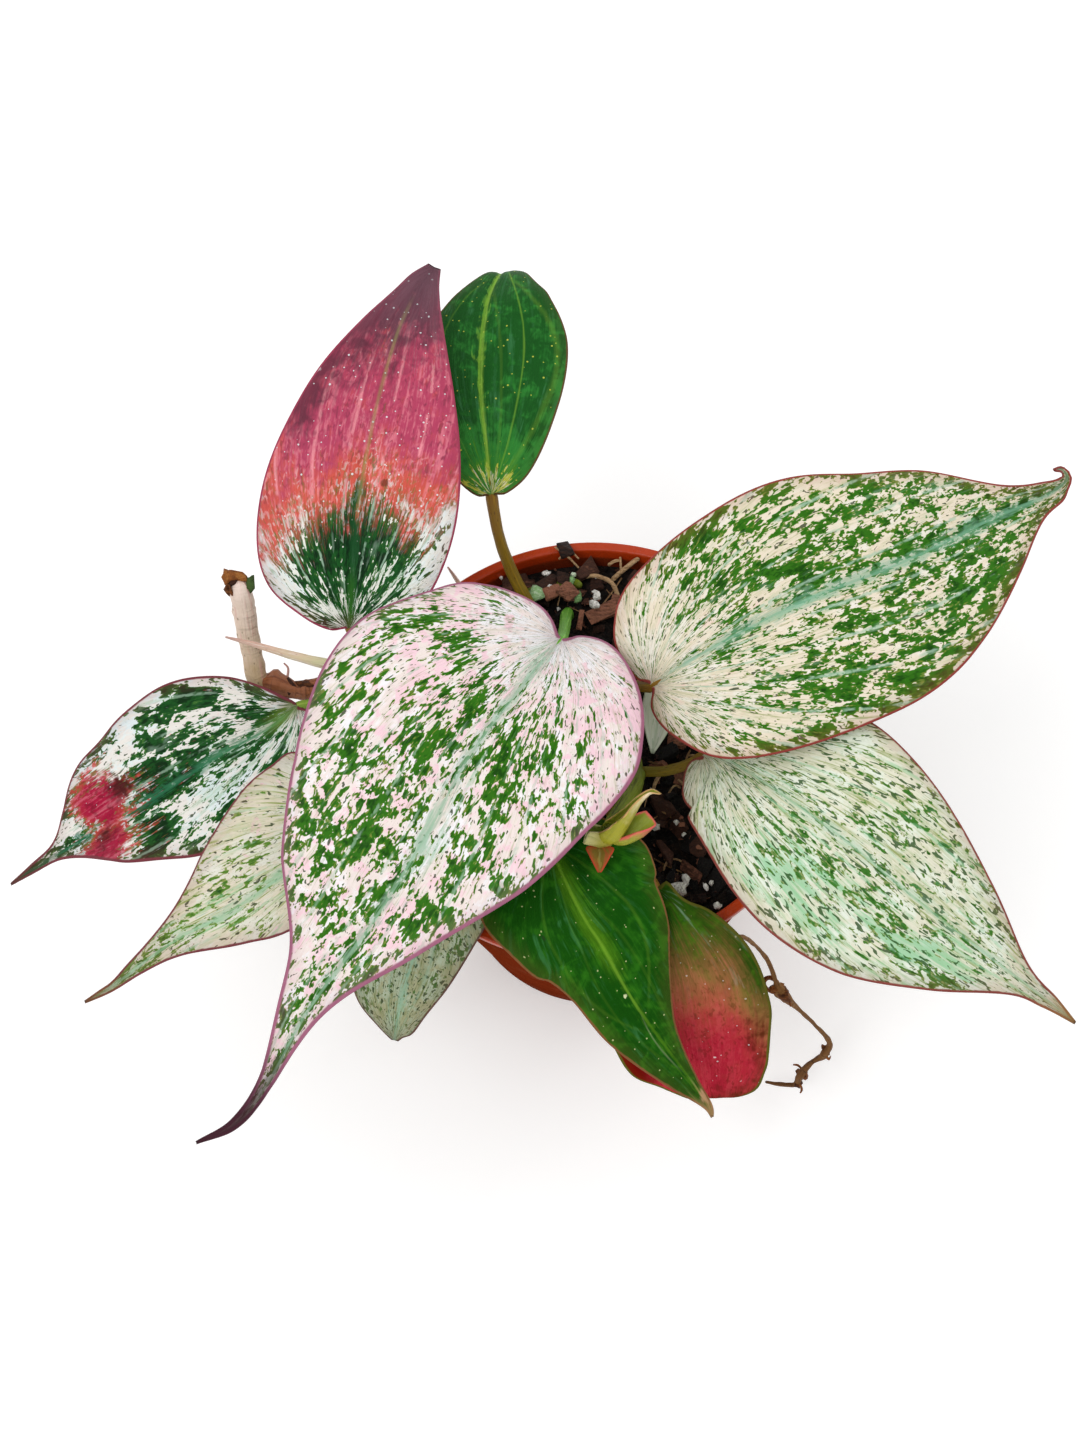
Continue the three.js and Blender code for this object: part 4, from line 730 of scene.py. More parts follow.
# Looks of blades, where they differ from the plain one:
# soft patches of a tone are (weight, along, across, reach along, reach across)
# ramps of a tone are (start, end, spread, slant), and the tip is (start, end, strength, colour)
# lines are (offset, start, end, width, strength, colour)
# spots are (along, across, radius, strength, colour)
LOOKS = {
    "leaf_centre": dict(
        green_base=0.43, pink_base=0.4, margin="9c6078", margin_width=1.0, edge_tint_and_shade=0.22,
        cream="eee0db", white="f3f0f4", blush="f3cfd9", mist=0.12, tip=(100, 120, 0.95, "3c1c26"),
        green=[(0.16, 13, 22, 5, 3.5), (0.16, 18, 13, 5, 3.5), (0.14, 36, 30, 8, 3),
            (0.26, 31, 7, 9, 4), (0.27, 34, -8, 12, 5), (0.27, 56, 9, 10, 5), (0.2, 62, -9, 9, 4),
            (0.2, 62, 21, 18, 3), (0.1, 95, 0, 20, 4), (-0.3, 3, 6, 10, 10),
            (-0.26, 2, -12, 12, 12), (-0.12, 22, -26, 14, 7), (-0.2, 50, -3, 9, 4)],
        pink=[(0.3, 25, 16, 8, 5), (0.3, 66, -6, 10, 6), (0.3, 6, 24, 7, 6), (0.2, 14, -20, 14, 9),
            (-0.4, 0, 0, 10, 10), (-0.4, 50, -2, 10, 5)],
        veil=[(0.4, 52, -3, 14, 5), (0.45, 10, 1, 8, 4), (0.25, 30, 0, 40, 3)],
    ),
    "leaf_right_upper": dict(
        green_base=0.48, pink_base=0.1, mist=0.4, cream="ecdfca", white="f0ebdf", blush="f0d6c8",
        margin="8e3c36", margin_width=0.65, band="74a98a", band_width=2.0, fine_scale=(1.6, 0.8, 1),
        fine=0.48, bits=0.55, line_green=0.55, vein=0.7,
        green=[(0.12, 52, -20, 18, 6), (0.12, 65, 17, 14, 7), (0.2, 92, 2, 16, 7),
            (-0.26, 3, -10, 12, 10), (-0.22, 8, 9, 9, 8), (0.14, 27, -13, 9, 7),
            (0.1, 30, 17, 12, 4), (0.08, 45, 22, 12, 5), (0.1, 42, -3, 14, 4)],
        veil=[(0.35, 50, 1, 30, 4), (0.4, 26, -16, 10, 8), (0.4, 45, 26, 20, 3)],
    ),
    "leaf_right_lower": dict(
        green_base=0.29, dash_level=0.2, cream="e4e2cc", white="e8efe0", veil_colour="8ec89c",
        band="8fbb96", band_width=1.0, band_strength=0.35, line_green=0.9, leaf="3c7428",
        margin="84423a", bits=0.7, blotch=0.25, pink_base=-0.4, bits_scale=(0.9, 0.3, 1), mist=0.6,
        dash_scale=(1.5, 0.45, 1), margin_width=0.65, olive="8c9a5c", scribble=0.5,
        dash_colour="245014", tip=(86, 100, 0.7, "9a7840"),
        green=[(0.16, 50, 6, 22, 7), (0.12, 40, -12, 16, 6), (-0.12, 88, 0, 14, 6)],
        veil=[(0.55, 58, 9, 28, 9), (0.55, 30, 15, 16, 8), (-0.3, 60, -10, 14, 6)],
    ),
    "leaf_back_red": dict(
        green_base=0.54, white="e2ecec", cream="ecece4", leaf="17521f", deep="06290f",
        band="154a22", band_width=2.2, band_strength=0.9, olive="4f7a34", margin="9a3c54",
        margin_width=0.6, edge_tint_and_shade=0.2, pinks=0.35, coral="d0584a", rose="b24260", blush="ee9aa2",
        below="a06a6c", line_green=0.15, pink_base=-0.5, mist=0.05, bits_scale=(0.8, 0.26, 1),
        red_streak=0.55, rose_at=(0.72, 1.0), maroon="5a2c3a", red_soft=0.2, vein=0.8, fringe=0.5,
        red_ramp=(8, 50, 0.62, -0.2), dark_ramp=(36, 84, 0, -0.6), tip=(58, 84, 0.55, "6a5660"),
        green=[(0.45, 20, 0, 12, 9), (0.2, 14, -10, 6, 4), (-0.35, 6, -17, 9, 6),
            (-0.3, 10, 18, 9, 6), (-0.3, 26, -21, 9, 5), (-0.3, 26, 21, 8, 5),
            (-0.2, 45, -22, 14, 3)],
        veil=[(0.5, 14, 8, 10, 6), (0.3, 14, -6, 8, 4)],
        red=[(-0.6, 36, -23, 14, 4), (-0.45, 24, 21, 9, 4)], dark=[(0.6, 50, -16, 10, 4)],
        lines=[(0, 22, 78, 0.7, 0.5, "8c8a50"), (0, -4, 15, 1.4, 0.7, "2f6a1c")],
        spots=[(54, -14.5, 1.0, 0.95, "e8e4e6"), (32, 5, 1.2, 0.8, "6a3420")],
    ),
    "leaf_back_green": dict(
        green_base=1.0, blotch=0.25, bits=0.2, fine=0.1, olive="4a8a20", leaf="2e8030",
        deep="145018", band=LIME, band_width=0.5, band_strength=0.3, cream="c8cc50",
        margin="5f4528", margin_width=0.55, edge_tint_and_shade=0.1, vein=0.1, below="5f8a48",
        veil_colour="4c9060", speck_size=0.12, green=[(-0.5, 2, 0, 12, 14), (-0.2, 26, 18, 14, 3)],
        lines=[(0.5, 2, 66, 0.9, 0.25, LIME), (0.5, 2, 70, 0.3, 0.35, "a0c850"),
            (10, 0, 66, 0.35, 0.35, LIME), (17.5, 0, 62, 1.2, 0.15, LIME),
            (-9, 0, 60, 0.4, 0.15, LIME), (5, 0, 56, 0.6, 0.1, LIME)],
    ),
    "leaf_left_pink": dict(
        green_base=0.5, white="dde8ea", cream="e8e2dc", leaf="174e1c", deep="052a0a", band="2c6e4c",
        band_width=1.8, band_strength=0.75, olive="4c7a34", margin="74363e", rose="a4143a",
        coral="b44638", maroon="3c1410", blush="f0a8b2", below="9a9a80", blotch=0.75, pinks=0.2,
        red_vein=0.15, line_green=0.15, pink_base=-0.1, red_streak=0.9, mist=0.1, speck_size=0.08,
        tip=(66, 84, 0.4, "3c3a20"),
        green=[(0.3, 78, 0, 10, 6), (-0.25, 38, 15, 9, 5), (-0.2, 22, -8, 10, 5),
            (0.2, 28, 8, 12, 5), (0.25, 38, -3, 9, 5), (0.15, 20, 14, 10, 3), (0.2, 40, -12, 8, 4)],
        veil=[(0.5, 20, -4, 20, 6)], red=[(1.2, 50, 6, 9, 7), (1.2, 53, -7, 10, 5)],
        dark=[(0.8, 44, 6, 5, 4), (0.7, 52, -3, 4, 3)],
        lines=[(0, -8, 12, 3, 0.6, "84a03c"), (0, -4, 26, 1.6, 0.3, "5c9a6c")],
    ),
    "leaf_left_pale": dict(
        green_base=0.27, cream="e2d8c4", white="e6e4d8", veil_colour="94c49a", leaf="55802c",
        olive="8c9a52", band="9cc3a0", band_width=1.2, line_green=0.95, margin="743a3e",
        margin_width=0.6, pink_base=0, bits_scale=(0.9, 0.24, 1), blotch=0.3, mist=0.5,
        tip=(62, 76, 0.6, "7a5a30"),
        green=[(0.12, 30, 6, 12, 6), (0.25, 64, 0, 14, 5), (0.1, 45, 4, 12, 5)],
        veil=[(0.5, 40, 0, 30, 4)],
    ),
    "leaf_front_hanging": dict(
        green_base=0.3, cream="a8a884", white="b2bea4", leaf="4a6c34", olive="6a7440",
        veil_colour="8aa88c", pink_base=-0.6, scribble=0.7, scribble_colour="54603c", mist=0.6,
        dash_level=0.2, band_width=0.7, line_green=0.9, margin="5a3a30", margin_width=0.6,
        blotch=0.3, green=[(0.12, 30, 10, 20, 3), (0.1, 30, -9, 20, 3), (-0.1, 25, 0, 20, 5)],
    ),
    "leaf_front_green": dict(
        green_base=1.0, blotch=0.3, bits=0.22, fine=0.12, olive="4f8a1c", leaf="296814",
        deep="144a0a", band="6ea024", band_width=0.8, band_strength=0.12, cream="c8cc90",
        margin="7c5634", margin_width=0.55, edge_tint_and_shade=0.12, below="6a8a50", veil_colour="4c9058",
        speck_size=0.1, vein=0.1, rib_line=0.2, gloss=0.02, tip=(63, 71, 0.85, "b08a60"),
        # The veil colour and these veil patches paint a bluish-green sheen onto the blade.
        veil=[(0.55, 52, 4, 14, 9), (0.4, 20, 12, 14, 5)],
        green=[(-0.2, 20, -16, 14, 4), (-0.25, 45, 10, 16, 3), (-0.15, 60, 0, 12, 4)],
        lines=[(0, -4, 34, 3.2, 0.28, "6ea41c"), (0, 0, 46, 0.5, 0.3, "8cb83c"),
            (1.2, 40, 60, 0.3, 0.2, "c0cc9c"), (9, 0, 48, 0.6, 0.08, LIME),
            (-9, 0, 44, 0.6, 0.1, LIME), (5, 6, 60, 0.5, 0.06, LIME), (-5, 6, 60, 0.5, 0.06, LIME)],
        spots=[(36, 1, 0.6, 0.9, "dce0b0"), (17, 9, 0.5, 0.7, "24381c"),
            (66.5, -1.6, 2.6, 0.8, "cc9c7c")],
    ),
    "leaf_front_red": dict(
        green_base=1.0, blotch=0.4, bits=0.2, fine=0.1, olive="667c2a", leaf="3c6a14",
        deep="1e4a0c", band="a06a3c", band_width=0.5, band_strength=0.2, margin="5c5a22",
        edge_tint_and_shade=0.1, coral="a86c46", rose="ae2236", maroon="54200f", blush="d4686c",
        cream="d8c8a0", below="6c0816", speck_size=0.11, speck=0.5, red_soft=0.4, red_streak=0.25,
        pinks=0.12, vein=0.1, fringe=0, red_ramp=(-8, 44, 0, 0), dark_ramp=(50, 66, 0, -0.15),
        rose_at=(0.55, 1.05), gloss=0, red=[(-0.5, 22, -19, 22, 4), (0.6, 46, 16, 16, 8)],
        dark=[(0.5, 42, -17, 13, 5)],
        spots=[(47, 18, 13, 1, "6c0208"), (45, -6.5, 0.4, 0.9, "e8c8c8")],
    ),
    "leaf_small_pale": dict(
        green_base=-1, dash=0, cream="f2f6ea", white="f8fbf2", band="b8ccb0", band_width=0.3,
        margin="b8c2a8", margin_width=0.2, pink_base=-1, line_green=0.2, scribble=0,
    ),
    "bud_leaf_pointed": dict(
        green_base=1.0, blotch=0.2, bits=0.15, olive="a89a3c", leaf="86702c", deep="7a6426",
        band="a89a4c", band_width=0.2, band_strength=0.3, speck=0.0, margin="b8482c",
        margin_width=0.35, edge_tint_and_shade=0.5, tint_and_shade_reach=1.2, below="a8803c",
    ),
}

for name, leaf in LEAVES.items():
    look = {**PLAIN_LOOK, **LOOKS[name]}
    material = leaf_material(name, look)
    leaf_piece(name, leaf, material, look)


# Stems, stalks and roots

STEMS = {
    "vine_old": dict(
        points=[(-71.4, 19.6, 91.2), (-67.4, 19.3, 91), (-63, 17.5, 90.6), (-58, 17.3, 90.2),
            (-50, 17.9, 90.2), (-43, 19.2, 89.4), (-37.8, 20.4, 85.6), (-36.4, 21.2, 80),
            (-33.6, 20, STEM_FOOT)],
        radii=[2, 2.6, 2.1, 2.4, 2.4, 2.2, 2.1, 2.1, 2],
        rings=[(4, 0.5, 0.9), (11, 0.35, 0.8), (22, 0.3, 0.7)], rough=0.16, look="woody_stem",
    ),
    "vine_front": dict(
        points=[(0.5, 16.5, STEM_FOOT), (0.8, 15, 81), (4, 6, 86.5), (7, -1, 90), (8.5, -13.2, 96),
            (6.3, -20.7, 102), (2.3, -27.5, 106.5), (0.6, -30, 107.4)],
        radii=[1.7, 1.7, 1.7, 2.1, 1.7, 1.9, 1.5, 1.5], rings=[(36, 0.35, 0.7), (50, 0.3, 0.7)],
        rough=0.05, look="young_shoot",
    ),
    "vine_back": dict(
        points=[(-18, 30, 76), (-15, 33.4, 82), (-10.5, 37.6, 84), (-5, 39.6, 84), (0.4, 40, 84.4),
            (2.4, 38.6, 85.8)],
        radii=[1.8, 1.8, 1.9, 1.6, 1.4, 0.6], rings=[(12, 0.3, 0.6)], rough=0.06,
        look="young_shoot",
    ),
    "stem_cut": dict(
        points=[(-70.8, 18.8, 89.9), (-71, 23.2, 96), (-70.8, 27.6, 103), (-70.4, 31.6, 110),
            (-70.5, 33.9, 113)],
        radii=[2.2, 2.2, 2.3, 2.4, 2.5], rings=[(20, 0.25, 0.6)], rough=0.09, look="cut_stem",
    ),
    "shoot_left": dict(
        points=[(-43.6, 19.2, 89.4), (-45, 16.8, 95), (-47.6, 15.4, 101), (-54.4, 15.2, 106),
            (-61, 17, 108), (-69, 19.7, 110), (-73.7, 20.7, 112)],
        radii=[1.2, 1.1, 1.1, 1.15, 0.9, 0.55, 0.2], rings=[], rough=0.04, look="pale_shoot",
    ),
    "sprout_back": dict(
        points=[(-20.6, 30, STEM_FOOT), (-21.6, 33, 81), (-23.6, 38, 86.8), (-25.6, 42, 88.6),
            (-27.3, 44.9, 89.8)],
        radii=[0.8, 0.8, 0.65, 0.5, 0.2], rings=[], rough=0.04, look="pale_shoot",
    ),
}

# Petioles: path from the blade down, radius and skin
STALKS = {
    "centre": (
        [(-3.6, 12.6, 111), (-2.6, 22, 98.5), (-1.8, 30, 88.5), (-1.2, 33, 82),
            (-1, 33.6, STEM_FOOT)],
        1.25, "bright_shoot",
    ),
    "right_upper": (
        [(10.6, 1.6, 106.5), (9, 6, 98), (9.4, 10, 88), (10, 12, 81), (10.2, 12.4, STEM_FOOT)], 1.3,
        "leaf_stalk",
    ),
    "right_lower": (
        [(20, -13.4, 98.4), (17, -14, 97.6), (13.5, -14.1, 97), (8.9, -13, 95.8)], 1.1,
        "leaf_stalk",
    ),
    "back_red": (
        [(-45.5, 21, 98.4), (-39, 16.6, 93), (-34, 15.6, 86.5), (-32, 15.8, 81),
            (-31.6, 16, STEM_FOOT)],
        1.2, "leaf_stalk",
    ),
    "back_green": (
        [(-14.9, 46.4, 98.4), (-12.7, 40, 91.4), (-9.6, 34.4, 86), (-8, 31.6, 81),
            (-7.6, 31, STEM_FOOT)],
        1.4, "leaf_stalk",
    ),
    "left_pink": ([(-56, 12.6, 92.8), (-50.5, 14.6, 91.4), (-47.4, 18.6, 90)], 1.2, "lime_stalk"),
    "left_pale": (
        [(-43, -13, 98), (-35, -2.6, 92.5), (-31.5, 4, 86), (-30.6, 6.4, 81),
            (-30.2, 7, STEM_FOOT)],
        1.2, "leaf_stalk",
    ),
    "front_hanging": (
        [(-29, -19, 96), (-24.5, -8.6, 90), (-22.2, -3, 82), (-21.5, -1.6, STEM_FOOT)], 1.1,
        "leaf_stalk",
    ),
    "front_green": ([(-9.4, -18, 97), (-3.4, -7.6, 92), (6.4, -1, 90.4)], 1.2, "leaf_stalk"),
    "front_red": (
        [(5.6, -29.4, 92), (2.8, -20, 89), (2.2, -14.6, 82), (2.2, -13, STEM_FOOT)], 1.2,
        "leaf_stalk",
    ),
    "small_pale": (
        [(15.8, 9, 96), (16.4, 13, 87), (16.6, 14, 81), (16.6, 14, STEM_FOOT)], 0.8, "young_shoot",
    ),
}

ROOTS = {
    "root_aerial_long": dict(
        points=[(16, -36.6, 72), (15.8, -38.2, 82), (16.4, -42, 86.6), (17.4, -45.4, 87.6),
            (18.8, -48.2, 87.2), (21, -49.4, 84.5), (24, -47.6, 79.5), (27, -44, 73.5),
            (31, -43.4, 64), (34.2, -44.9, 56), (36, -48.2, 50), (36.8, -49.7, 47.4), (41, -52, 40),
            (45.5, -54.3, 32), (49.3, -56.7, 24), (48.2, -58.6, 20), (45.4, -59.4, 17),
            (42.9, -61, 13), (41.6, -62.4, 9), (38.4, -61.6, 7), (34.9, -60.2, 5)],
        radii=[0.5, 0.5, 0.5, 0.5, 0.45, 0.45, 0.45, 0.45, 0.45, 0.5, 0.6, 1.6, 0.5, 0.45, 0.6, 0.9,
            0.5, 1.1, 0.6, 0.5, 0.35],
        rings=[], rough=0.2, look="dry_root",
    ),
    "root_aerial_fine": dict(
        points=[(-65.3, 24.8, 90), (-64.3, 23, 90.6), (-64.6, 20, 91)], radii=[0.2, 0.26, 0.3],
        rings=[], rough=0.02, look="fine_root",
    ),
}

TUBE_SIDES = 18
TUBE_CELL = 0.7


def across_frames(tangents):
    """For each place on a path, two directions across it that turn as little as they can."""
    first = unit(np.cross(tangents[0], (0.3, 0.2, 0.9)))
    sides = [first]
    for tangent in tangents[1:]:
        side = sides[-1] - tangent * np.dot(sides[-1], tangent)
        sides.append(unit(side))
    sides = np.array(sides)
    return sides, np.cross(tangents, sides)


def tube(points, radii, sides=TUBE_SIDES, cell=TUBE_CELL, rings=(), rough=0.0, seed=0.0):
    """A closed tube with rounded ends. Rings are swellings, each (place, height, half length)."""
    path = LengthCurve(points)
    count = max(int(path.length / cell), 4)
    ends = np.array([0, 0.12, 0.35, 0.65])
    along = np.linspace(0, path.length, count + 1)
    first, last = radii[0] * ends, path.length - radii[-1] * ends[::-1]
    inner = along[(along > radii[0]) & (along < path.length - radii[-1])]
    along = np.concatenate([first, inner, last])
    knots = np.interp(np.linspace(0, 1, len(radii)), path.places, path.lengths)
    radius = np.interp(along, knots, radii)
    smooth = np.interp(along + cell, knots, radii) + np.interp(along - cell, knots, radii)
    radius = (radius + smooth) / 3
    for place, height, half in rings:
        radius = radius + height * np.exp(-((along - place) / half) ** 2)
    left = np.minimum(along / radii[0], (path.length - along) / radii[-1])
    left = np.clip(left, 0.02, 1)
    radius = radius * np.sqrt(left * (2 - left))
    tangents = path.tangent(along)
    side, up = across_frames(tangents)
    angle = 2 * math.pi * np.arange(sides) / sides
    out = side[:, None] * np.cos(angle)[None, :, None] + up[:, None] * np.sin(angle)[None, :, None]
    centre = path.inside(along)
    swell = np.ones((len(along), sides))
    if rough:
        for row in range(len(along)):
            for column in range(sides):
                spot = Vector(out[row, column] * 1.3)
                spot += Vector((along[row] * 0.35, seed, 0))
                swell[row, column] += rough * 2 * noise.noise(spot)
    ring_points = centre[:, None] + out * (radius[:, None] * swell)[..., None]
    rows = len(along)
    vertices = np.vstack([ring_points.reshape(-1, 3), centre[0], centre[-1]])
    grown = np.repeat(along, sides)
    grown = np.concatenate([grown, [0, path.length]])
    round_it = np.concatenate([np.tile(angle, rows), [0, 0]])
    flow = np.stack([np.cos(round_it) * 2, np.sin(round_it) * 2, grown], axis=-1)
    return vertices, ring_faces(rows, sides), {"flow": flow, "share": grown / path.length}


def stem_material(name, base, tip, streak, spot, shine=0.45, rings=0):
    """Skin of a stem: colour from base to tip, streaks along it and small darker spots."""
    s = Shader(name)
    flow = s.data("flow", "Vector")
    share = s.data("share")
    streaks = s.noise(flow, (1.6, 1.6, 0.12), 3, 0.6)
    patches_over = s.noise(flow, (0.5, 0.5, 0.2), 3, 0.6, shift=(4, 0, 0))
    colour = s.mix(s.clamp(share + patches_over * 0.3), base, tip)
    colour = s.mix(s.ease(streaks + patches_over * 0.4, 0.0, 0.4) * 0.7, colour, streak)
    distance, own = s.cells(flow, (1.1, 1.1, 0.6))
    spots = s.ease(distance, 0.28, 0.12) * s.ease(own, 0.6, 0.65)
    colour = s.mix(spots * 0.6, colour, spot)
    height = streaks * 0.7 + patches_over * 0.3
    if rings:
        wave = s.noise(flow, (0.1, 0.1, 1.3), 2, 0.5, shift=(0, 3, 0))
        colour = s.mix(s.ease(wave, 0.15, 0.35) * rings, colour, spot)
        height = height + wave * 0.6
    s.bump(height, 0.0003)
    return s.finish(colour, shine + streaks * 0.15, Specular_IOR_Level=0.25)


# Colours at the foot and the tip, of streaks and of spots, then the roughness and the rings
SKIN_TINTS = {
    "woody_stem": ("8e5636", "744024", "562816", "341a10", 0.5, 0.5),
    "cut_stem": ("b09670", "e8d4c8", "cc9a90", "5a4a28", 0.55, 0.2),
    "young_shoot": ("40440a", "6c7a18", "343a08", "2c2c08"),
    "bright_shoot": ("5c9c28", "44801a", "88c050", "3c6c1c"),
    "leaf_stalk": ("7c560a", "6c6410", "97730f", "42280a"),
    "lime_stalk": ("7c9a30", "6a8a28", "9cb44c", "4c6c20"),
    "pale_shoot": ("cfe6a8", "dca99e", "f0e8dc", "9c4c48"),
    "dry_root": ("a07038", "6c4620", "5c3a18", "2a180a", 0.7, 0.6),
    "fine_root": ("c8948a", "dcb4ac", "b07468", "84503f"),
}
SKINS = {name: stem_material(name + "_skin", *tints) for name, tints in SKIN_TINTS.items()}


def stem_piece(name, points, radii, look, **shape):
    vertices, faces, data = tube(points, radii, seed=len(name) * 3.1, **shape)
    return add_piece(name + "_skin", vertices, faces, SKINS[look], [name], data)


for name, stem in {**STEMS, **ROOTS}.items():
    shape = dict(rings=stem["rings"], rough=stem["rough"])
    if name in ROOTS:
        shape.update(sides=10, cell=0.5)
    stem_piece(name, stem["points"], stem["radii"], stem["look"], **shape)

STALK_NECK = 0.9
STALK_INTO_BLADE = 0.35
RIB_BLEND = ((5.5, 0.55, 0.3), (2.6, 0.6, 0.5))
for name, (points, radius, look) in STALKS.items():
    leaf = LEAVES["leaf_" + name]
    reach = np.array([along for along, _, _ in RIB_BLEND] + [0])
    top, facing = blade_surface(leaf, LengthCurve(leaf["midrib"]), reach, np.zeros(3))
    drop = BLADE_HALF_THICKNESS + leaf["rib_depth"] + radius / 2 - STALK_INTO_BLADE
    drops = [share * leaf["rib_depth"] + 0.3 for _, share, _ in RIB_BLEND] + [drop]
    upper = list(top - facing * np.array(drops)[:, None])
    radii = [share * radius for _, _, share in RIB_BLEND]
    radii += [radius, STALK_NECK * radius] + [radius] * (len(points) - 1)
    stem_piece("petiole_" + name, [*upper, *points], radii, look, rough=0.03)


# Pot

def pot_inner_radius(height):
    slope = (RIM_RADIUS - LIP_STEP - BASE_RADIUS) / POT_HEIGHT
    return BASE_RADIUS + slope * height - WALL


def rounded(corners, steps=5):
    """A path through corners, each (radius, height, rounding), with its corners rounded off."""
    path = []
    for index, (x, y, rounding) in enumerate(corners):
        here = np.array([x, y])
        if not rounding:
            path.append(here)
            continue
        before = np.array(corners[index - 1][:2]) - here
        after = np.array(corners[index + 1][:2]) - here
        start = here + before / np.linalg.norm(before) * rounding
        end = here + after / np.linalg.norm(after) * rounding
        for t in np.linspace(0, 1, steps + 1):
            path.append(start * (1 - t) ** 2 + here * 2 * t * (1 - t) + end * t ** 2)
    return np.array(path)


POT_SEGMENTS = 192


def pot_piece():
    shoulder = POT_HEIGHT - LIP_HEIGHT
    inside = pot_inner_radius
    corners = [
        (BASE_RADIUS - 6, 0.6, 0), (BASE_RADIUS - 5.4, 0, 0.25), (BASE_RADIUS, 0, 0.9),
        (BASE_RADIUS + 1.15, 9, 0), (BASE_RADIUS + 3.7, 24, 0), (BASE_RADIUS + 8.8, 54, 0),
        (inside(shoulder) + WALL - 0.15, shoulder - 0.8, 0),
        (inside(shoulder) + WALL, shoulder, 0.25), (RIM_RADIUS, shoulder + LIP_STEP, 0.5),
        (RIM_RADIUS, POT_HEIGHT, 0.6), (inside(POT_HEIGHT), POT_HEIGHT, 0.6),
        (inside(70), 70, 0), (inside(40), 40, 0), (inside(14), 14, 0), (inside(FLOOR), FLOOR, 1.2),
        (BASE_RADIUS - 8, FLOOR, 0),
    ]
    path = rounded(corners)
    angle = 2 * math.pi * np.arange(POT_SEGMENTS) / POT_SEGMENTS
    wobble = 0.12 * np.sin(2 * angle + 0.6) + 0.08 * np.sin(5 * angle)
    radius = path[:, 0][:, None] + wobble[None, :] * (path[:, 1] / POT_HEIGHT)[:, None]
    x, y = radius * np.cos(angle), radius * np.sin(angle)
    z = np.repeat(path[:, 1][:, None], POT_SEGMENTS, axis=1)
    points = np.stack([x, y, z], axis=-1).reshape(-1, 3)
    points = np.vstack([points, (0, 0, 0.6), (0, 0, FLOOR)])
    faces = ring_faces(len(path), POT_SEGMENTS)

    s = Shader("pot_plastic")
    place = s.place()
    x, y, z = s.split(place)
    around = s.math("ARCTAN2", y, x)
    stretched = s.noise(place, (0.05, 0.05, 0.5), 3, 0.55)
    fine = s.noise(place, (1.4, 1.4, 1.4), 3, 0.6)
    dust = s.noise(place, (0.16, 0.16, 0.07), 4, 0.6)
    colour = s.mix(s.ease(stretched, -0.3, 0.3), "6c2610", "722a12")
    worn = s.ease(z + dust * 14, 8, -2) * 0.35
    colour = s.mix(worn, colour, "6c4434")
    colour = s.mix(s.ease(dust + fine * 0.4, 0.05, 0.5) * 0.22, colour, "94563c")
    # The lip is painted a brighter orange than the wall: painted light on the rim. The wall colours
    # above are the plastic's own red, darkened as painted shade.
    lip = s.ease(z, POT_HEIGHT - LIP_HEIGHT - 0.4, POT_HEIGHT - LIP_HEIGHT + 0.5)
    colour = s.mix(lip * 0.85, colour, "b8380c")
    mould = s.ease(s.math("ABSOLUTE", around - 0.4), 0.01, 0.004) * (1 - lip)
    s.bump(fine * 0.3 + stretched * 0.25 - mould * 0.6, 0.0002)
    gloss = 0.5 - lip * 0.2 + dust * 0.15
    material = s.finish(colour, gloss, Specular_IOR_Level=lip * 0.3)
    pot = add_piece("pot_shell", points, faces, material, ["pot"])

    cutters = bmesh.new()
    for index in range(DRAIN_COUNT):
        turn = 2 * math.pi * (index + 0.5) / DRAIN_COUNT
        where = Vector((DRAIN_CIRCLE * math.cos(turn), DRAIN_CIRCLE * math.sin(turn), 1)) * MM
        bmesh.ops.create_cone(
            cutters, cap_ends=True, segments=40, radius1=DRAIN_RADIUS * MM,
            radius2=DRAIN_RADIUS * MM, depth=8 * MM, matrix=Matrix.Translation(where),
        )
    mesh = bpy.data.meshes.new("drain_cutter")
    cutters.to_mesh(mesh)
    cutters.free()
    cutter = add_object("drain_cutter", mesh)
    cut = pot.modifiers.new("drains", "BOOLEAN")
    cut.operation = "DIFFERENCE"
    cut.solver = "EXACT"
    cut.object = cutter
    graph = bpy.context.evaluated_depsgraph_get()
    drained = bpy.data.meshes.new_from_object(pot.evaluated_get(graph))
    pot.modifiers.clear()
    pot.data = drained
    drained.name = "pot_shell"
    bpy.data.objects.remove(cutter)


pot_piece()


# Soil

def soil_height(x, y):
    broad = np.sin(0.21 * x + 1.3) * np.cos(0.17 * y - 0.4)
    fine = np.sin(0.63 * x - 0.5 * y) * np.cos(0.58 * y + 0.3 * x)
    return SOIL_TOP + SOIL_RELIEF * (0.6 * broad + 0.4 * fine)


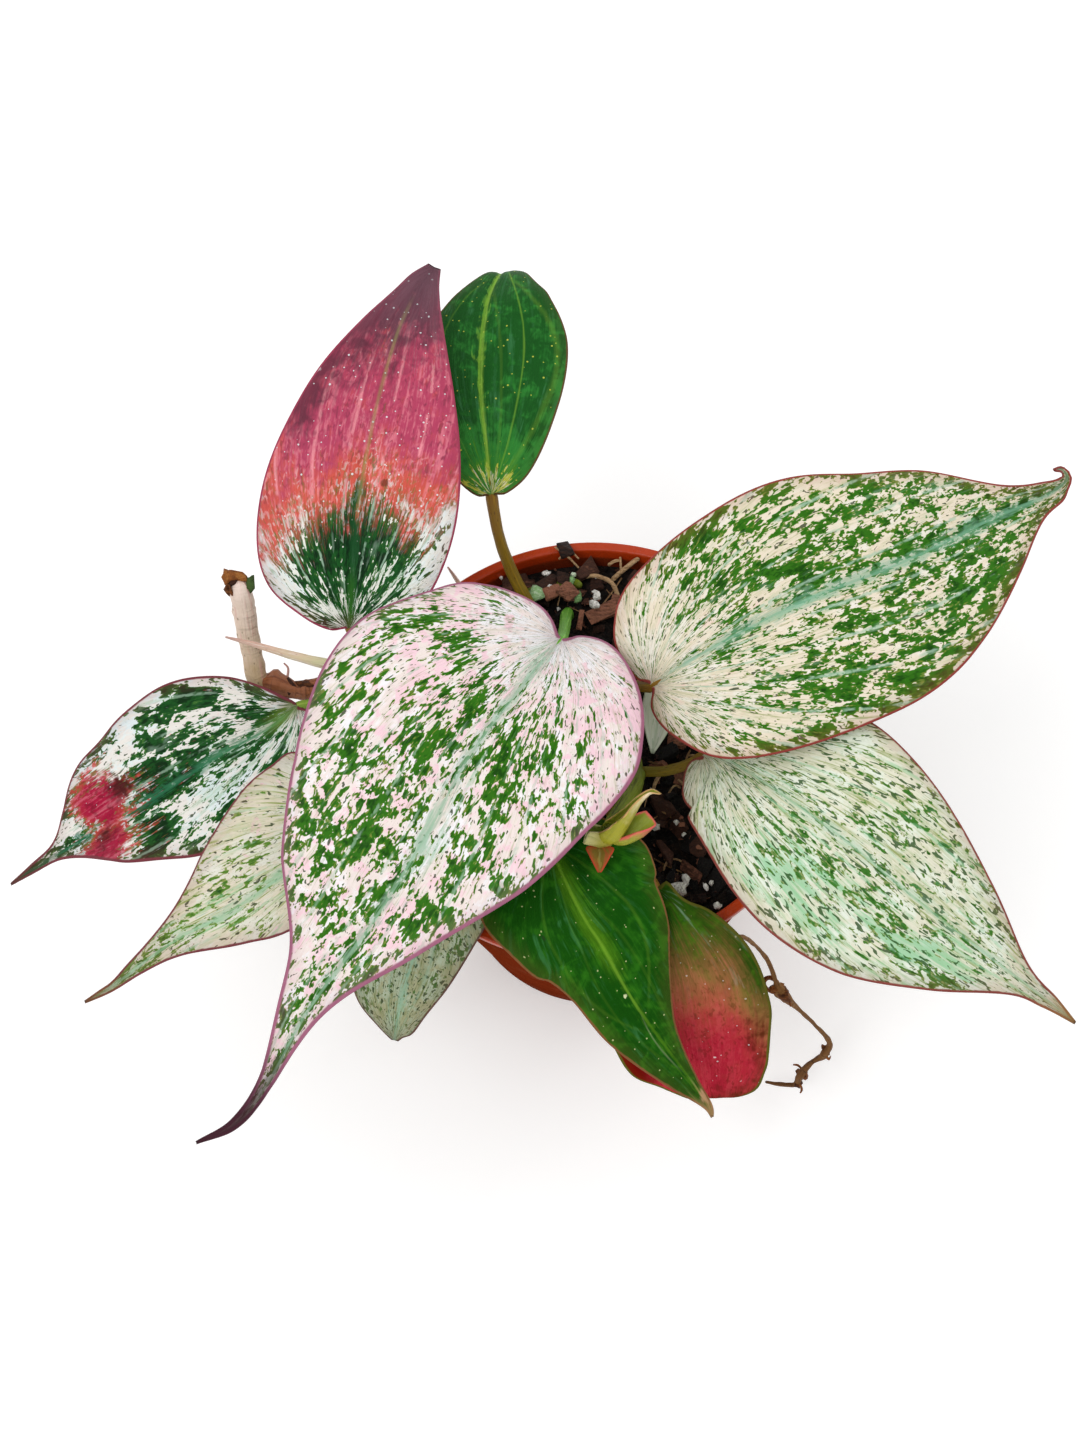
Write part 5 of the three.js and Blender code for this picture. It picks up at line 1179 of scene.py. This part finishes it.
def soil_bed():
    rings, spokes = 56, 200
    shoulder = SOIL_TOP - SOIL_RELIEF
    bottom = FLOOR + GAP
    wall_gap = GAP + 0.1
    edge = pot_inner_radius(shoulder) - wall_gap
    angle = 2 * math.pi * np.arange(spokes) / spokes
    points = [(0, 0, float(soil_height(0, 0)))]
    for ring in range(1, rings + 1):
        for turn in angle:
            radius = edge * ring / rings
            x, y = radius * math.cos(turn), radius * math.sin(turn)
            spot = Vector((x, y, 0))
            lump = 1.2 * noise.noise(spot * 0.35) + 0.7 * noise.noise(spot * 0.9)
            height = float(soil_height(x, y)) - 0.9 + lump
            points.append((x, y, shoulder - 0.6 if ring == rings else height))
    foot = len(points)
    low = pot_inner_radius(bottom) - wall_gap
    for turn in angle:
        points.append((low * math.cos(turn), low * math.sin(turn), bottom))
    points.append((0, 0, bottom))
    faces = []
    for column in range(spokes):
        after = (column + 1) % spokes
        faces.append((0, 1 + column, 1 + after))
        for ring in range(rings):
            inner = 1 + ring * spokes
            outer = foot if ring == rings - 1 else inner + spokes
            faces.append((inner + column, outer + column, outer + after, inner + after))
        faces.append((len(points) - 1, foot + after, foot + column))
    s = Shader("soil_crumb")
    place = s.place()
    grain = s.noise(place, (0.9, 0.9, 0.9), 5, 0.65)
    patch = s.noise(place, (0.22, 0.22, 0.22), 3, 0.5)
    colour = s.mix(s.ease(grain + patch * 0.4, -0.2, 0.4), "0f0a08", "2e1f18")
    colour = s.mix(s.ease(grain, 0.25, 0.5) * 0.6, colour, "5a3c2c")
    s.bump(grain, 0.0012)
    material = s.finish(colour, 0.85, Specular_IOR_Level=0.25)
    add_piece("soil_bed", points, faces, material, ["soil"])


def lump_shape(rng, size, kind):
    """One small solid, centred on 0: a split chip of bark, a crumb or a puffed grain."""
    shape = bmesh.new()
    if kind == "grain":
        bmesh.ops.create_icosphere(shape, subdivisions=2, radius=1)
        shift = Vector([rng.uniform(0, 50) for _ in range(3)])
        for vertex in shape.verts:
            swell = 1 + 0.75 * noise.noise(vertex.co * 1.3 + shift)
            swell += 0.3 * noise.noise(vertex.co * 3.1 + shift)
            vertex.co = Vector(c * swell * half for c, half in zip(vertex.co, size))
    else:
        count = 15 if kind == "chip" else 9
        for _ in range(count):
            spot = Vector([rng.uniform(-1, 1) for _ in range(3)])
            if kind == "chip":
                spot = Vector([math.copysign(abs(c) ** 0.45, c) for c in spot])
            shape.verts.new([c * half for c, half in zip(spot, size)])
        bmesh.ops.convex_hull(shape, input=shape.verts)
        loose = [v for v in shape.verts if not v.link_faces]
        bmesh.ops.delete(shape, geom=loose, context="VERTS")
        if kind == "chip":
            bmesh.ops.triangulate(shape, faces=shape.faces)
            bmesh.ops.subdivide_edges(shape, edges=shape.edges, cuts=1, use_grid_fill=True)
            shift = Vector([rng.uniform(0, 50) for _ in range(3)])
            for vertex in shape.verts:
                grain = noise.noise_vector(vertex.co * 0.9 + shift)
                vertex.co += grain * 0.12 * min(size)
    bmesh.ops.recalc_face_normals(shape, faces=shape.faces)
    shape.verts.index_update()
    points = np.array([v.co for v in shape.verts])
    faces = [[v.index for v in face.verts] for face in shape.faces]
    shape.free()
    return points, faces


def heap(name, lumps, material, smooth=False, replaces=("soil",)):
    """One piece made of many small solids, each (points, faces, tone)."""
    points, faces, tones = [], [], []
    for lump_points, lump_faces, tone in lumps:
        first = len(tones)
        points.extend(lump_points)
        faces.extend([[first + i for i in face] for face in lump_faces])
        tones.extend([tone] * len(lump_points))
    piece = add_piece(name, points, faces, material, replaces, {"tone": tones})
    piece.data.polygons.foreach_set("use_smooth", [smooth] * len(faces))
    return piece


def turned(points, turn, place):
    matrix = Matrix.Rotation(turn[2], 3, "Z") @ Matrix.Rotation(turn[1], 3, "Y")
    matrix = matrix @ Matrix.Rotation(turn[0], 3, "X")
    return points @ np.array(matrix).T + np.array(place)


def bark_material(name, dark, mid, light):
    s = Shader(name)
    tone = s.data("tone")
    place = s.place()
    grain = s.noise(place, (0.5, 1.8, 1.8), 4, 0.6)
    fine = s.noise(place, (2.4, 2.4, 2.4), 4, 0.6)
    colour = s.mix(s.ease(tone + grain * 0.35, 0.1, 0.55), dark, mid)
    colour = s.mix(s.ease(tone + grain * 0.5 + fine * 0.2, 0.6, 1.1), colour, light)
    s.bump(grain * 0.7 + fine * 0.5, 0.0006)
    return s.finish(colour, 0.75 + fine * 0.2, Specular_IOR_Level=0.3)


BARK = bark_material("bark_flakes", "0b0605", "422519", "94604a")

# Chips that the photograph shows singly: place, half size, turn and tone
PLACED_CHIPS = [
    ((-1, 36.4, 87.4), (2.3, 2.3, 0.75), (0.3, 0.1, 0.75), 0.95),
    ((-4.2, 37.2, 86.6), (2.2, 1.7, 0.7), (0.1, -0.2, 0.2), 1.2),
    ((-5.6, 39.8, 86), (3.2, 1.9, 0.7), (0.1, 0.1, 0.3), 0.4),
    ((-1.2, 40.6, 85.8), (2.2, 1.6, 0.7), (0.1, 0.1, -0.4), 0.35),
    ((6.5, 31.8, 84.2), (4, 1.9, 1), (0.2, -0.2, 0.25), 0.95),
    ((9.4, 33.4, 84.4), (2.6, 1.5, 0.9), (0.1, 0.2, 1.0), 0.85),
    ((10.4, 24.6, 83.4), (3, 2.3, 1.3), (0, 0.3, 1.2), 0.45),
    ((1.2, 30.2, 84.6), (0.7, 2.6, 0.5), (0.2, 0.2, -0.2), 1.1),
    ((-12.5, 43, 83.2), (3.5, 1.7, 1), (0.2, 0.1, 0.3), 0.5),
    ((-11.6, 40.2, 84.4), (4, 1.6, 0.9), (0.2, 0.1, 0.1), 0.65),
    ((3.6, 43.6, 84.2), (3.2, 2.4, 1.4), (0.1, 0.2, 0.4), 0.6),
    ((16, 39, 83.4), (3.2, 2, 1.1), (-0.2, 0.2, 2.2), 0.4),
    ((21, -26, 83.2), (3, 2.2, 1.2), (0.1, -0.2, 0.8), 0.5),
    ((13, -27, 83.2), (3.2, 2, 1.1), (0.2, 0.2, 2.4), 0.6),
    ((14, -16, 83.6), (3.4, 2.2, 1.2), (0.1, 0.1, 1.9), 0.5),
    ((17.4, -21.4, 84), (0.8, 0.6, 0.5), (0, 0, 0), 1.3),
    ((20.3, -27, 84), (0.7, 0.6, 0.5), (0, 0, 0), 1.3),
]
PLACED_PERLITE = [
    ((4.9, 33.6, 85.2), (1.3, 1, 0.9)), ((5.6, 35.8, 85.2), (0.9, 1, 0.8)),
    ((5.2, 37, 85), (0.5, 0.6, 0.5)), ((-4.4, 38.6, 86.6), (1, 0.6, 0.6)),
    ((-5.2, 43.2, 85), (0.9, 0.8, 0.5)), ((6.1, 41, 84.6), (0.4, 0.4, 0.35)),
    ((14.8, -35.6, 84.2), (1.9, 1.5, 1.1)), ((16.6, -33.4, 84), (0.8, 1.1, 0.7)),
    ((20.5, -35.6, 83.8), (0.8, 0.5, 0.5)), ((21.7, -35, 83.8), (0.6, 0.5, 0.5)),
    ((22.4, -40, 83.4), (0.9, 0.8, 0.7)), ((11.8, -21.2, 84), (0.8, 0.8, 0.7)),
    ((16.2, -20.6, 84), (0.6, 0.55, 0.5)), ((17.5, -23.5, 83.8), (0.5, 0.4, 0.4)),
    ((-15.6, 44.1, 83.6), (0.5, 0.5, 0.4)),
]
# Twigs: path and radius
TWIGS = [
    ([(9.5, 40.6, 82.8), (13, 42.6, 84.4), (16.4, 44.4, 85.2)], 0.55),
    ([(9.1, 44, 84), (10.6, 44.6, 84.6), (12, 44.8, 84.4)], 0.35),
    ([(12.2, 45.6, 84.6), (12, 43.4, 84.4), (12, 42.6, 83.6)], 0.3),
    ([(-2.6, 48, 88.2), (0.2, 45.4, 87.4), (2.4, 43.6, 85)], 0.25),
    ([(-2, 45.8, 86.2), (0.6, 46.6, 88), (2.6, 45.2, 86.4)], 0.22),
    ([(1.6, 42, 82.4), (3.4, 41.8, 84), (6.4, 41, 84.8), (9.4, 39.2, 84.4), (10.6, 36.4, 82.4)],
     0.5),
    ([(12, -13.6, 82), (13, -11.2, 84.6), (15.2, -8, 83.4)], 0.4),
    ([(15.2, -14, 83), (16.9, -12.5, 84.6), (18.4, -12.6, 83.2)], 0.22),
    ([(18.4, -15, 83), (18.8, -12.6, 84.8), (18, -10.6, 83.2)], 0.25),
]
CHIP_COUNT = 300
CRUMB_COUNT = 900
GRAIN_COUNT = 46
FIBRE_COUNT = 60


def soil_spot(rng, clearance):
    turn = rng.uniform(0, 2 * math.pi)
    radius = (pot_inner_radius(SOIL_TOP) - clearance) * math.sqrt(rng.random())
    x, y = radius * math.cos(turn), radius * math.sin(turn)
    return x, y, float(soil_height(x, y))


def soil_pieces():
    rng = random.Random(41)
    chips = []
    for place, size, turn, tone in PLACED_CHIPS:
        points, faces = lump_shape(rng, size, "chip")
        chips.append((turned(points, turn, place), faces, tone))
    for _ in range(CHIP_COUNT):
        long = rng.uniform(1.2, 3.4)
        size = (long, long * rng.uniform(0.4, 0.8), long * rng.uniform(0.22, 0.45))
        x, y, z = soil_spot(rng, long + 1.2)
        turn = (rng.gauss(0, 0.4), rng.gauss(0, 0.4), rng.uniform(0, 6.3))
        points, faces = lump_shape(rng, size, "chip")
        place = (x, y, z + rng.uniform(-1.2, 0.5))
        chips.append((turned(points, turn, place), faces, rng.random() ** 1.8))
    heap("bark_chips", chips, BARK)

    crumbs = []
    for _ in range(CRUMB_COUNT):
        half = rng.uniform(0.3, 1.0)
        size = (half, half * rng.uniform(0.5, 1), half * rng.uniform(0.5, 0.9))
        x, y, z = soil_spot(rng, half + 0.8)
        turn = [rng.uniform(0, 6.3) for _ in range(3)]
        points, faces = lump_shape(rng, size, "crumb")
        place = (x, y, z + rng.uniform(-0.8, 0.4))
        crumbs.append((turned(points, turn, place), faces, rng.random() ** 1.5))
    heap("soil_crumbs", crumbs, BARK)

    s = Shader("perlite_grain")
    place = s.place()
    pits = s.noise(place, (1.8, 1.8, 1.8), 3, 0.6)
    white = s.mix(s.ease(pits, -0.1, 0.4), "f2efea", "b9b2aa")
    s.bump(pits, 0.0004)
    perlite = s.finish(white, 0.8, Specular_IOR_Level=0.3)
    grains = []
    for place, size in PLACED_PERLITE:
        points, faces = lump_shape(rng, size, "grain")
        grains.append((turned(points, (0, 0, rng.uniform(0, 6)), place), faces, 1))
    for _ in range(GRAIN_COUNT):
        radius = rng.uniform(0.25, 0.8)
        x, y, z = soil_spot(rng, 2)
        size = (radius, radius * rng.uniform(0.6, 1), radius * 0.8)
        points, faces = lump_shape(rng, size, "grain")
        turn = [rng.uniform(0, 6.3) for _ in range(3)]
        grains.append((turned(points, turn, (x, y, z + 0.3)), faces, 1))
    heap("perlite", grains, perlite, smooth=True)

    fibres = []
    for points, radius in TWIGS:
        fibres.append(tube(points, [radius] * len(points), 10, 0.5, rough=0.15)[:2] + (0.9,))
    for _ in range(FIBRE_COUNT):
        x, y, z = soil_spot(rng, 7)
        turn, reach = rng.uniform(0, 6.3), rng.uniform(1.5, 5)
        bow = rng.uniform(-1.5, 1.5)
        step = np.array([math.cos(turn), math.sin(turn), 0]) * reach
        aside = np.array([-math.sin(turn), math.cos(turn), 0]) * bow
        middle = np.array([x, y, z + rng.uniform(0.7, 1.7)]) + aside
        low = np.array([x, y, z - 0.2])
        points = [low - step, middle, low + step]
        radius = rng.uniform(0.1, 0.28)
        fibres.append(tube(points, [radius] * 3, 6, 0.8)[:2] + (rng.uniform(0.3, 1),))
    fibre = bark_material("fibre", "3c2616", "8c6844", "c8a47c")
    heap("twigs_and_fibres", fibres, fibre, smooth=True)

    points, faces = lump_shape(rng, (1.7, 2.5, 0.95), "chip")
    points = turned(points, (0.1, 0.15, 0.3), (-0.3, 47.6, 87.7))
    add_piece("rim_chip_flake", points, faces, BARK, ["bark_chip_on_rim"],
              {"tone": [0.3] * len(points)})


soil_bed()
soil_pieces()


# Bud

SHEET_THICKNESS = 0.32
SHEET_CELL = 0.3
SHEET_COLUMNS = 28


def scroll(points, radii, openings, facing):
    """A thin sheet curled about a path. Openings give half its curl, in degrees."""
    path = LengthCurve(points)
    along = np.linspace(0, path.length, max(int(path.length / SHEET_CELL), 10))
    knots = np.interp(np.linspace(0, 1, len(radii)), path.places, path.lengths)
    radius = np.interp(along, knots, radii)
    curl = np.radians(np.interp(along, knots, openings))
    tangents = path.tangent(along)
    up = unit(facing - tangents * (tangents @ np.array(facing))[:, None])
    side = np.cross(tangents, up)
    v = np.linspace(-1, 1, SHEET_COLUMNS)
    angle = curl[:, None] * v[None, :]
    out = -up[:, None] * np.cos(angle)[..., None] + side[:, None] * np.sin(angle)[..., None]
    centre = path.inside(along)[:, None] + out * radius[:, None, None]
    to_side = (1 - np.abs(v))[None, :] * (curl * radius)[:, None]
    to_end = np.repeat((path.length - along)[:, None], SHEET_COLUMNS, axis=1)
    edge = np.minimum(to_side, to_end)
    half = SHEET_THICKNESS / 2 * np.sqrt(np.clip(edge / 0.3, 0, 1))
    vertices, faces, rim = shell(centre, out, half, half)
    grown = np.repeat(along[:, None], SHEET_COLUMNS, axis=1)
    flow = np.stack([angle * 2, np.zeros_like(angle), grown], axis=-1)
    values = {"flow": flow, "share": grown / path.length, "edge": edge}
    data = {key: both_sides(rim, value) for key, value in values.items()}
    data["inside"] = under_side(rim)
    return vertices, faces, data


def bud_material(name, base, tip, rim, inside, rim_reach):
    s = Shader(name)
    flow = s.data("flow", "Vector")
    streaks = s.noise(flow, (1.8, 1.8, 0.3), 3, 0.6)
    soft = s.noise(flow, (0.5, 0.5, 0.4), 2, 0.5)
    colour = s.mix(s.ease(s.data("share") + soft * 0.3, 0.35, 0.95), base, tip)
    colour = s.mix(s.ease(streaks, 0, 0.4) * 0.35, colour, "7c8a24")
    colour = s.mix(s.data("inside"), colour, s.mix(s.ease(streaks, -0.2, 0.4) * 0.4, inside, base))
    colour = s.mix(s.ease(s.data("edge") + soft * 0.8, rim_reach, 0.1) * 0.9, colour, rim)
    s.bump(streaks, 0.0002)
    return s.finish(colour, 0.4 + streaks * 0.1, Specular_IOR_Level=0.3, Subsurface_Weight=0.0)


BUD_PARTS = {
    "bud_sheath_wrap": dict(
        points=[(0.4, -30.9, 107.4), (1.5, -31, 110), (4.4, -29, 112.6), (7.2, -27.3, 115.5),
            (9.6, -26.6, 117.2), (11.6, -27.6, 117.6)],
        radii=[1.9, 2.5, 1.7, 0.9, 0.55, 0.12], openings=[165, 135, 110, 110, 100, 80],
        facing=(-0.6, 0.5, 0.5), replaces=["bud_sheath"],
        skin=bud_material("bud_sheath_skin", "a8a42c", "f6e0bc", "e0b070", "8a9428", 0.3),
    ),
    "bud_sheath_collar": dict(
        points=[(1.6, -31.4, 107.2), (-0.6, -30.9, 107.6), (-3.2, -29.8, 108.2)],
        radii=[1.7, 2.4, 2.7], openings=[150, 125, 105], facing=(-0.1, 0.75, 0.6), replaces=[],
        skin=bud_material("bud_collar_skin", "a8a040", "d6cf8c", "e0d8a0", "6c8424", 0.3),
    ),
    "bud_leaf_rolled_wrap": dict(
        points=[(1.6, -32, 107.4), (3.6, -32.2, 109), (6.2, -31.2, 110.6), (9, -29.7, 112)],
        radii=[0.9, 1.7, 2.3, 2.2], openings=[170, 150, 125, 70], facing=(-0.55, 0.05, 0.8),
        replaces=["bud_leaf_rolled"],
        skin=bud_material("bud_leaf_skin", "a0a034", "cc6c54", "dc5a58", "8c9a30", 0.85),
    ),
}
for name, part in BUD_PARTS.items():
    shape = [part[key] for key in ("points", "radii", "openings", "facing")]
    vertices, faces, data = scroll(*shape)
    add_piece(name, vertices, faces, part["skin"], part["replaces"], data)


# Cork on the cut stem, knots on the dry root and other small growths

CORK = bark_material("cork_edges", "3c1c0c", "9a5a24", "c48844")
GREEN_BITS = bark_material("green_bits", "46602c", "8cb878", "d4e4c8")

# Lumps: place, half size, turn and tone
CORK_LUMPS = [
    ((-60, 17.9, 92.2), (2.6, 1.4, 0.8), (0.2, 0.1, 0.1), 0.2),
    ((-55.6, 17.4, 92.1), (1.8, 1.3, 0.7), (0.1, -0.15, -0.3), 0.35),
    ((-64, 18, 92.1), (1.4, 1.7, 0.8), (0, 0.1, 0.6), 0.1),
    ((-55, 15.9, 90.6), (2.6, 0.9, 1.3), (0.3, 0, 0.15), 0.15),
]
CROWN_LUMPS = [
    ((-70.9, 34, 113.1), (2.2, 1.6, 1.2), (0.5, 0, -0.2), 0.45),
    ((-72.7, 34.3, 112.9), (1.0, 1.7, 1.8), (0.5, -0.2, 0.2), 0.7),
    ((-72.5, 32.3, 111.6), (0.8, 1.5, 2.3), (0.4, -0.1, 0.1), 0.3),
    ((-69.6, 33.7, 113.6), (1.5, 0.7, 0.8), (0.2, 0.3, -0.5), 0.8),
    ((-71.6, 32.9, 113.2), (1.1, 0.8, 0.8), (0.6, 0.1, 0.5), 0.1),
]
KNOT_LUMPS = [
    ((37.4, -50.3, 47.5), (1.3, 1.9, 1.2), (0.3, 0.2, 0.4), 0.3),
    ((36, -49, 48.6), (1.6, 0.9, 0.8), (0, 0.3, 0.3), 0.6),
    ((48.7, -57.6, 20.6), (0.9, 1.5, 1), (0.4, 0, 0.1), 0.3),
    ((43.6, -60.8, 11.8), (1.3, 1.6, 1.2), (0.2, 0.3, 0.7), 0.35),
    ((42.3, -62.6, 9.6), (0.9, 1, 0.8), (0, 0, 0.4), 0.2),
]
KNOT_CURLS = [
    ([(36.6, -48.4, 49.6), (34.8, -47.2, 50.6), (33.3, -47.7, 50), (33.7, -49.2, 49.2),
      (35.1, -50, 48.4), (36.8, -49.8, 47.8)], 0.5),
    ([(37.6, -50.6, 47.2), (38.6, -51.8, 46.4), (38.9, -53, 45.6)], 0.4),
    ([(48.2, -58.4, 20.2), (49.1, -59.7, 19.6), (49.8, -59, 19.4)], 0.35),
    ([(43.6, -60.2, 12.4), (42.6, -58.8, 12.6), (41.4, -58.4, 12.4)], 0.3),
    ([(42.4, -62.4, 10.2), (42.9, -63.9, 9.6), (42.4, -64.8, 9.2)], 0.35),
]
GREEN_LUMPS = [
    ((-68.1, 32.8, 112.2), (1, 1.5, 1.3), (0.5, 0.2, 0), -0.1),
    ((-8.4, 37.2, 86.2), (2.4, 1.9, 1.2), (0.2, 0.1, 0.1), 0.75),
    ((0.4, 39.9, 86), (0.7, 1.5, 0.7), (0.3, 0, -0.2), 0.5),
    ((0.9, 41.3, 86.3), (0.7, 0.6, 0.55), (0, 0, 0), 1.4),
    ((1.3, 35.4, 86), (0.7, 1.5, 0.6), (0.2, 0.1, -0.5), 0.35),
]


def growths():
    rng = random.Random(7)

    def lumps(rows, kind):
        shapes = []
        for place, size, turn, tone in rows:
            points, faces = lump_shape(rng, size, kind)
            shapes.append((turned(points, turn, place), faces, tone))
        return shapes

    cork = lumps(CORK_LUMPS, "chip") + lumps(CROWN_LUMPS, "grain")
    heap("stem_cut_cork", cork, CORK, True, ())
    curls = [tube(points, [r, r, r * 0.6], 8, 0.4, rough=0.15)[:2] + (0.4,)
             for points, r in KNOT_CURLS]
    knots = lumps(KNOT_LUMPS, "grain") + curls
    heap("root_knots", knots, CORK, True, ())
    heap("green_scales", lumps(GREEN_LUMPS, "grain"), GREEN_BITS, True, ())


growths()


# Floor, light and camera

def studio():
    mesh = bpy.data.meshes.new("floor")
    size = 3.0
    corners = [(-size, -size, 0), (size, -size, 0), (size, size, 0), (-size, size, 0)]
    mesh.from_pydata(corners, [], [(0, 1, 2, 3)])
    floor = add_object("floor", mesh)
    s = Shader("floor")
    grain = s.noise(s.place(40), (1, 1, 1), 3, 0.5)
    pale = s.mix(grain * 0.2 + 0.5, "f4f4f4", "f8f8f8")
    glow = dict(Emission_Color=(1, 1, 1, 1), Emission_Strength=0.2)
    mesh.materials.append(s.finish(pale, 0.9, **glow))

    world = bpy.data.worlds.new("studio")
    world.use_nodes = True
    sky = world.node_tree.nodes["Background"]
    sky.inputs["Color"].default_value = (1, 1, 1, 1)
    sky.inputs["Strength"].default_value = 0.68
    bpy.context.scene.world = world
    lamps = {"key": ((-0.45, -0.3, 0.95), 0.6, 4.2), "fill": ((0.6, 0.35, 0.8), 0.8, 2.4)}
    for name, (where, size, power) in lamps.items():
        lamp = bpy.data.lights.new(name, "AREA")
        lamp.size = size
        lamp.energy = power
        thing = add_object(name, lamp)
        thing.location = where
        away = Vector(where) - Vector((0, 0, 0.06))
        thing.rotation_euler = away.to_track_quat("Z", "Y").to_euler()


def camera():
    level_right = Vector((1, 0, 0))
    level_up = Vector((0, math.sin(CAMERA_ELEVATION), math.cos(CAMERA_ELEVATION)))
    back = Vector((0, -math.cos(CAMERA_ELEVATION), math.sin(CAMERA_ELEVATION)))
    right = level_right * math.cos(CAMERA_ROLL) + level_up * math.sin(CAMERA_ROLL)
    up = level_up * math.cos(CAMERA_ROLL) - level_right * math.sin(CAMERA_ROLL)
    lens = bpy.data.cameras.new("camera")
    lens.sensor_fit = "VERTICAL"
    lens.sensor_height = SENSOR
    lens.lens = FOCAL_PIXELS / PHOTO_HEIGHT * SENSOR
    lens.clip_start = 0.01
    eye = add_object("camera", lens)
    turned = Matrix((right, up, back)).transposed().to_4x4()
    place = (CAMERA_TARGET + back * CAMERA_DISTANCE) * MM
    eye.matrix_world = Matrix.Translation(place) @ turned
    bpy.context.scene.camera = eye


studio()
camera()
bpy.context.scene.view_settings.view_transform = "Standard"
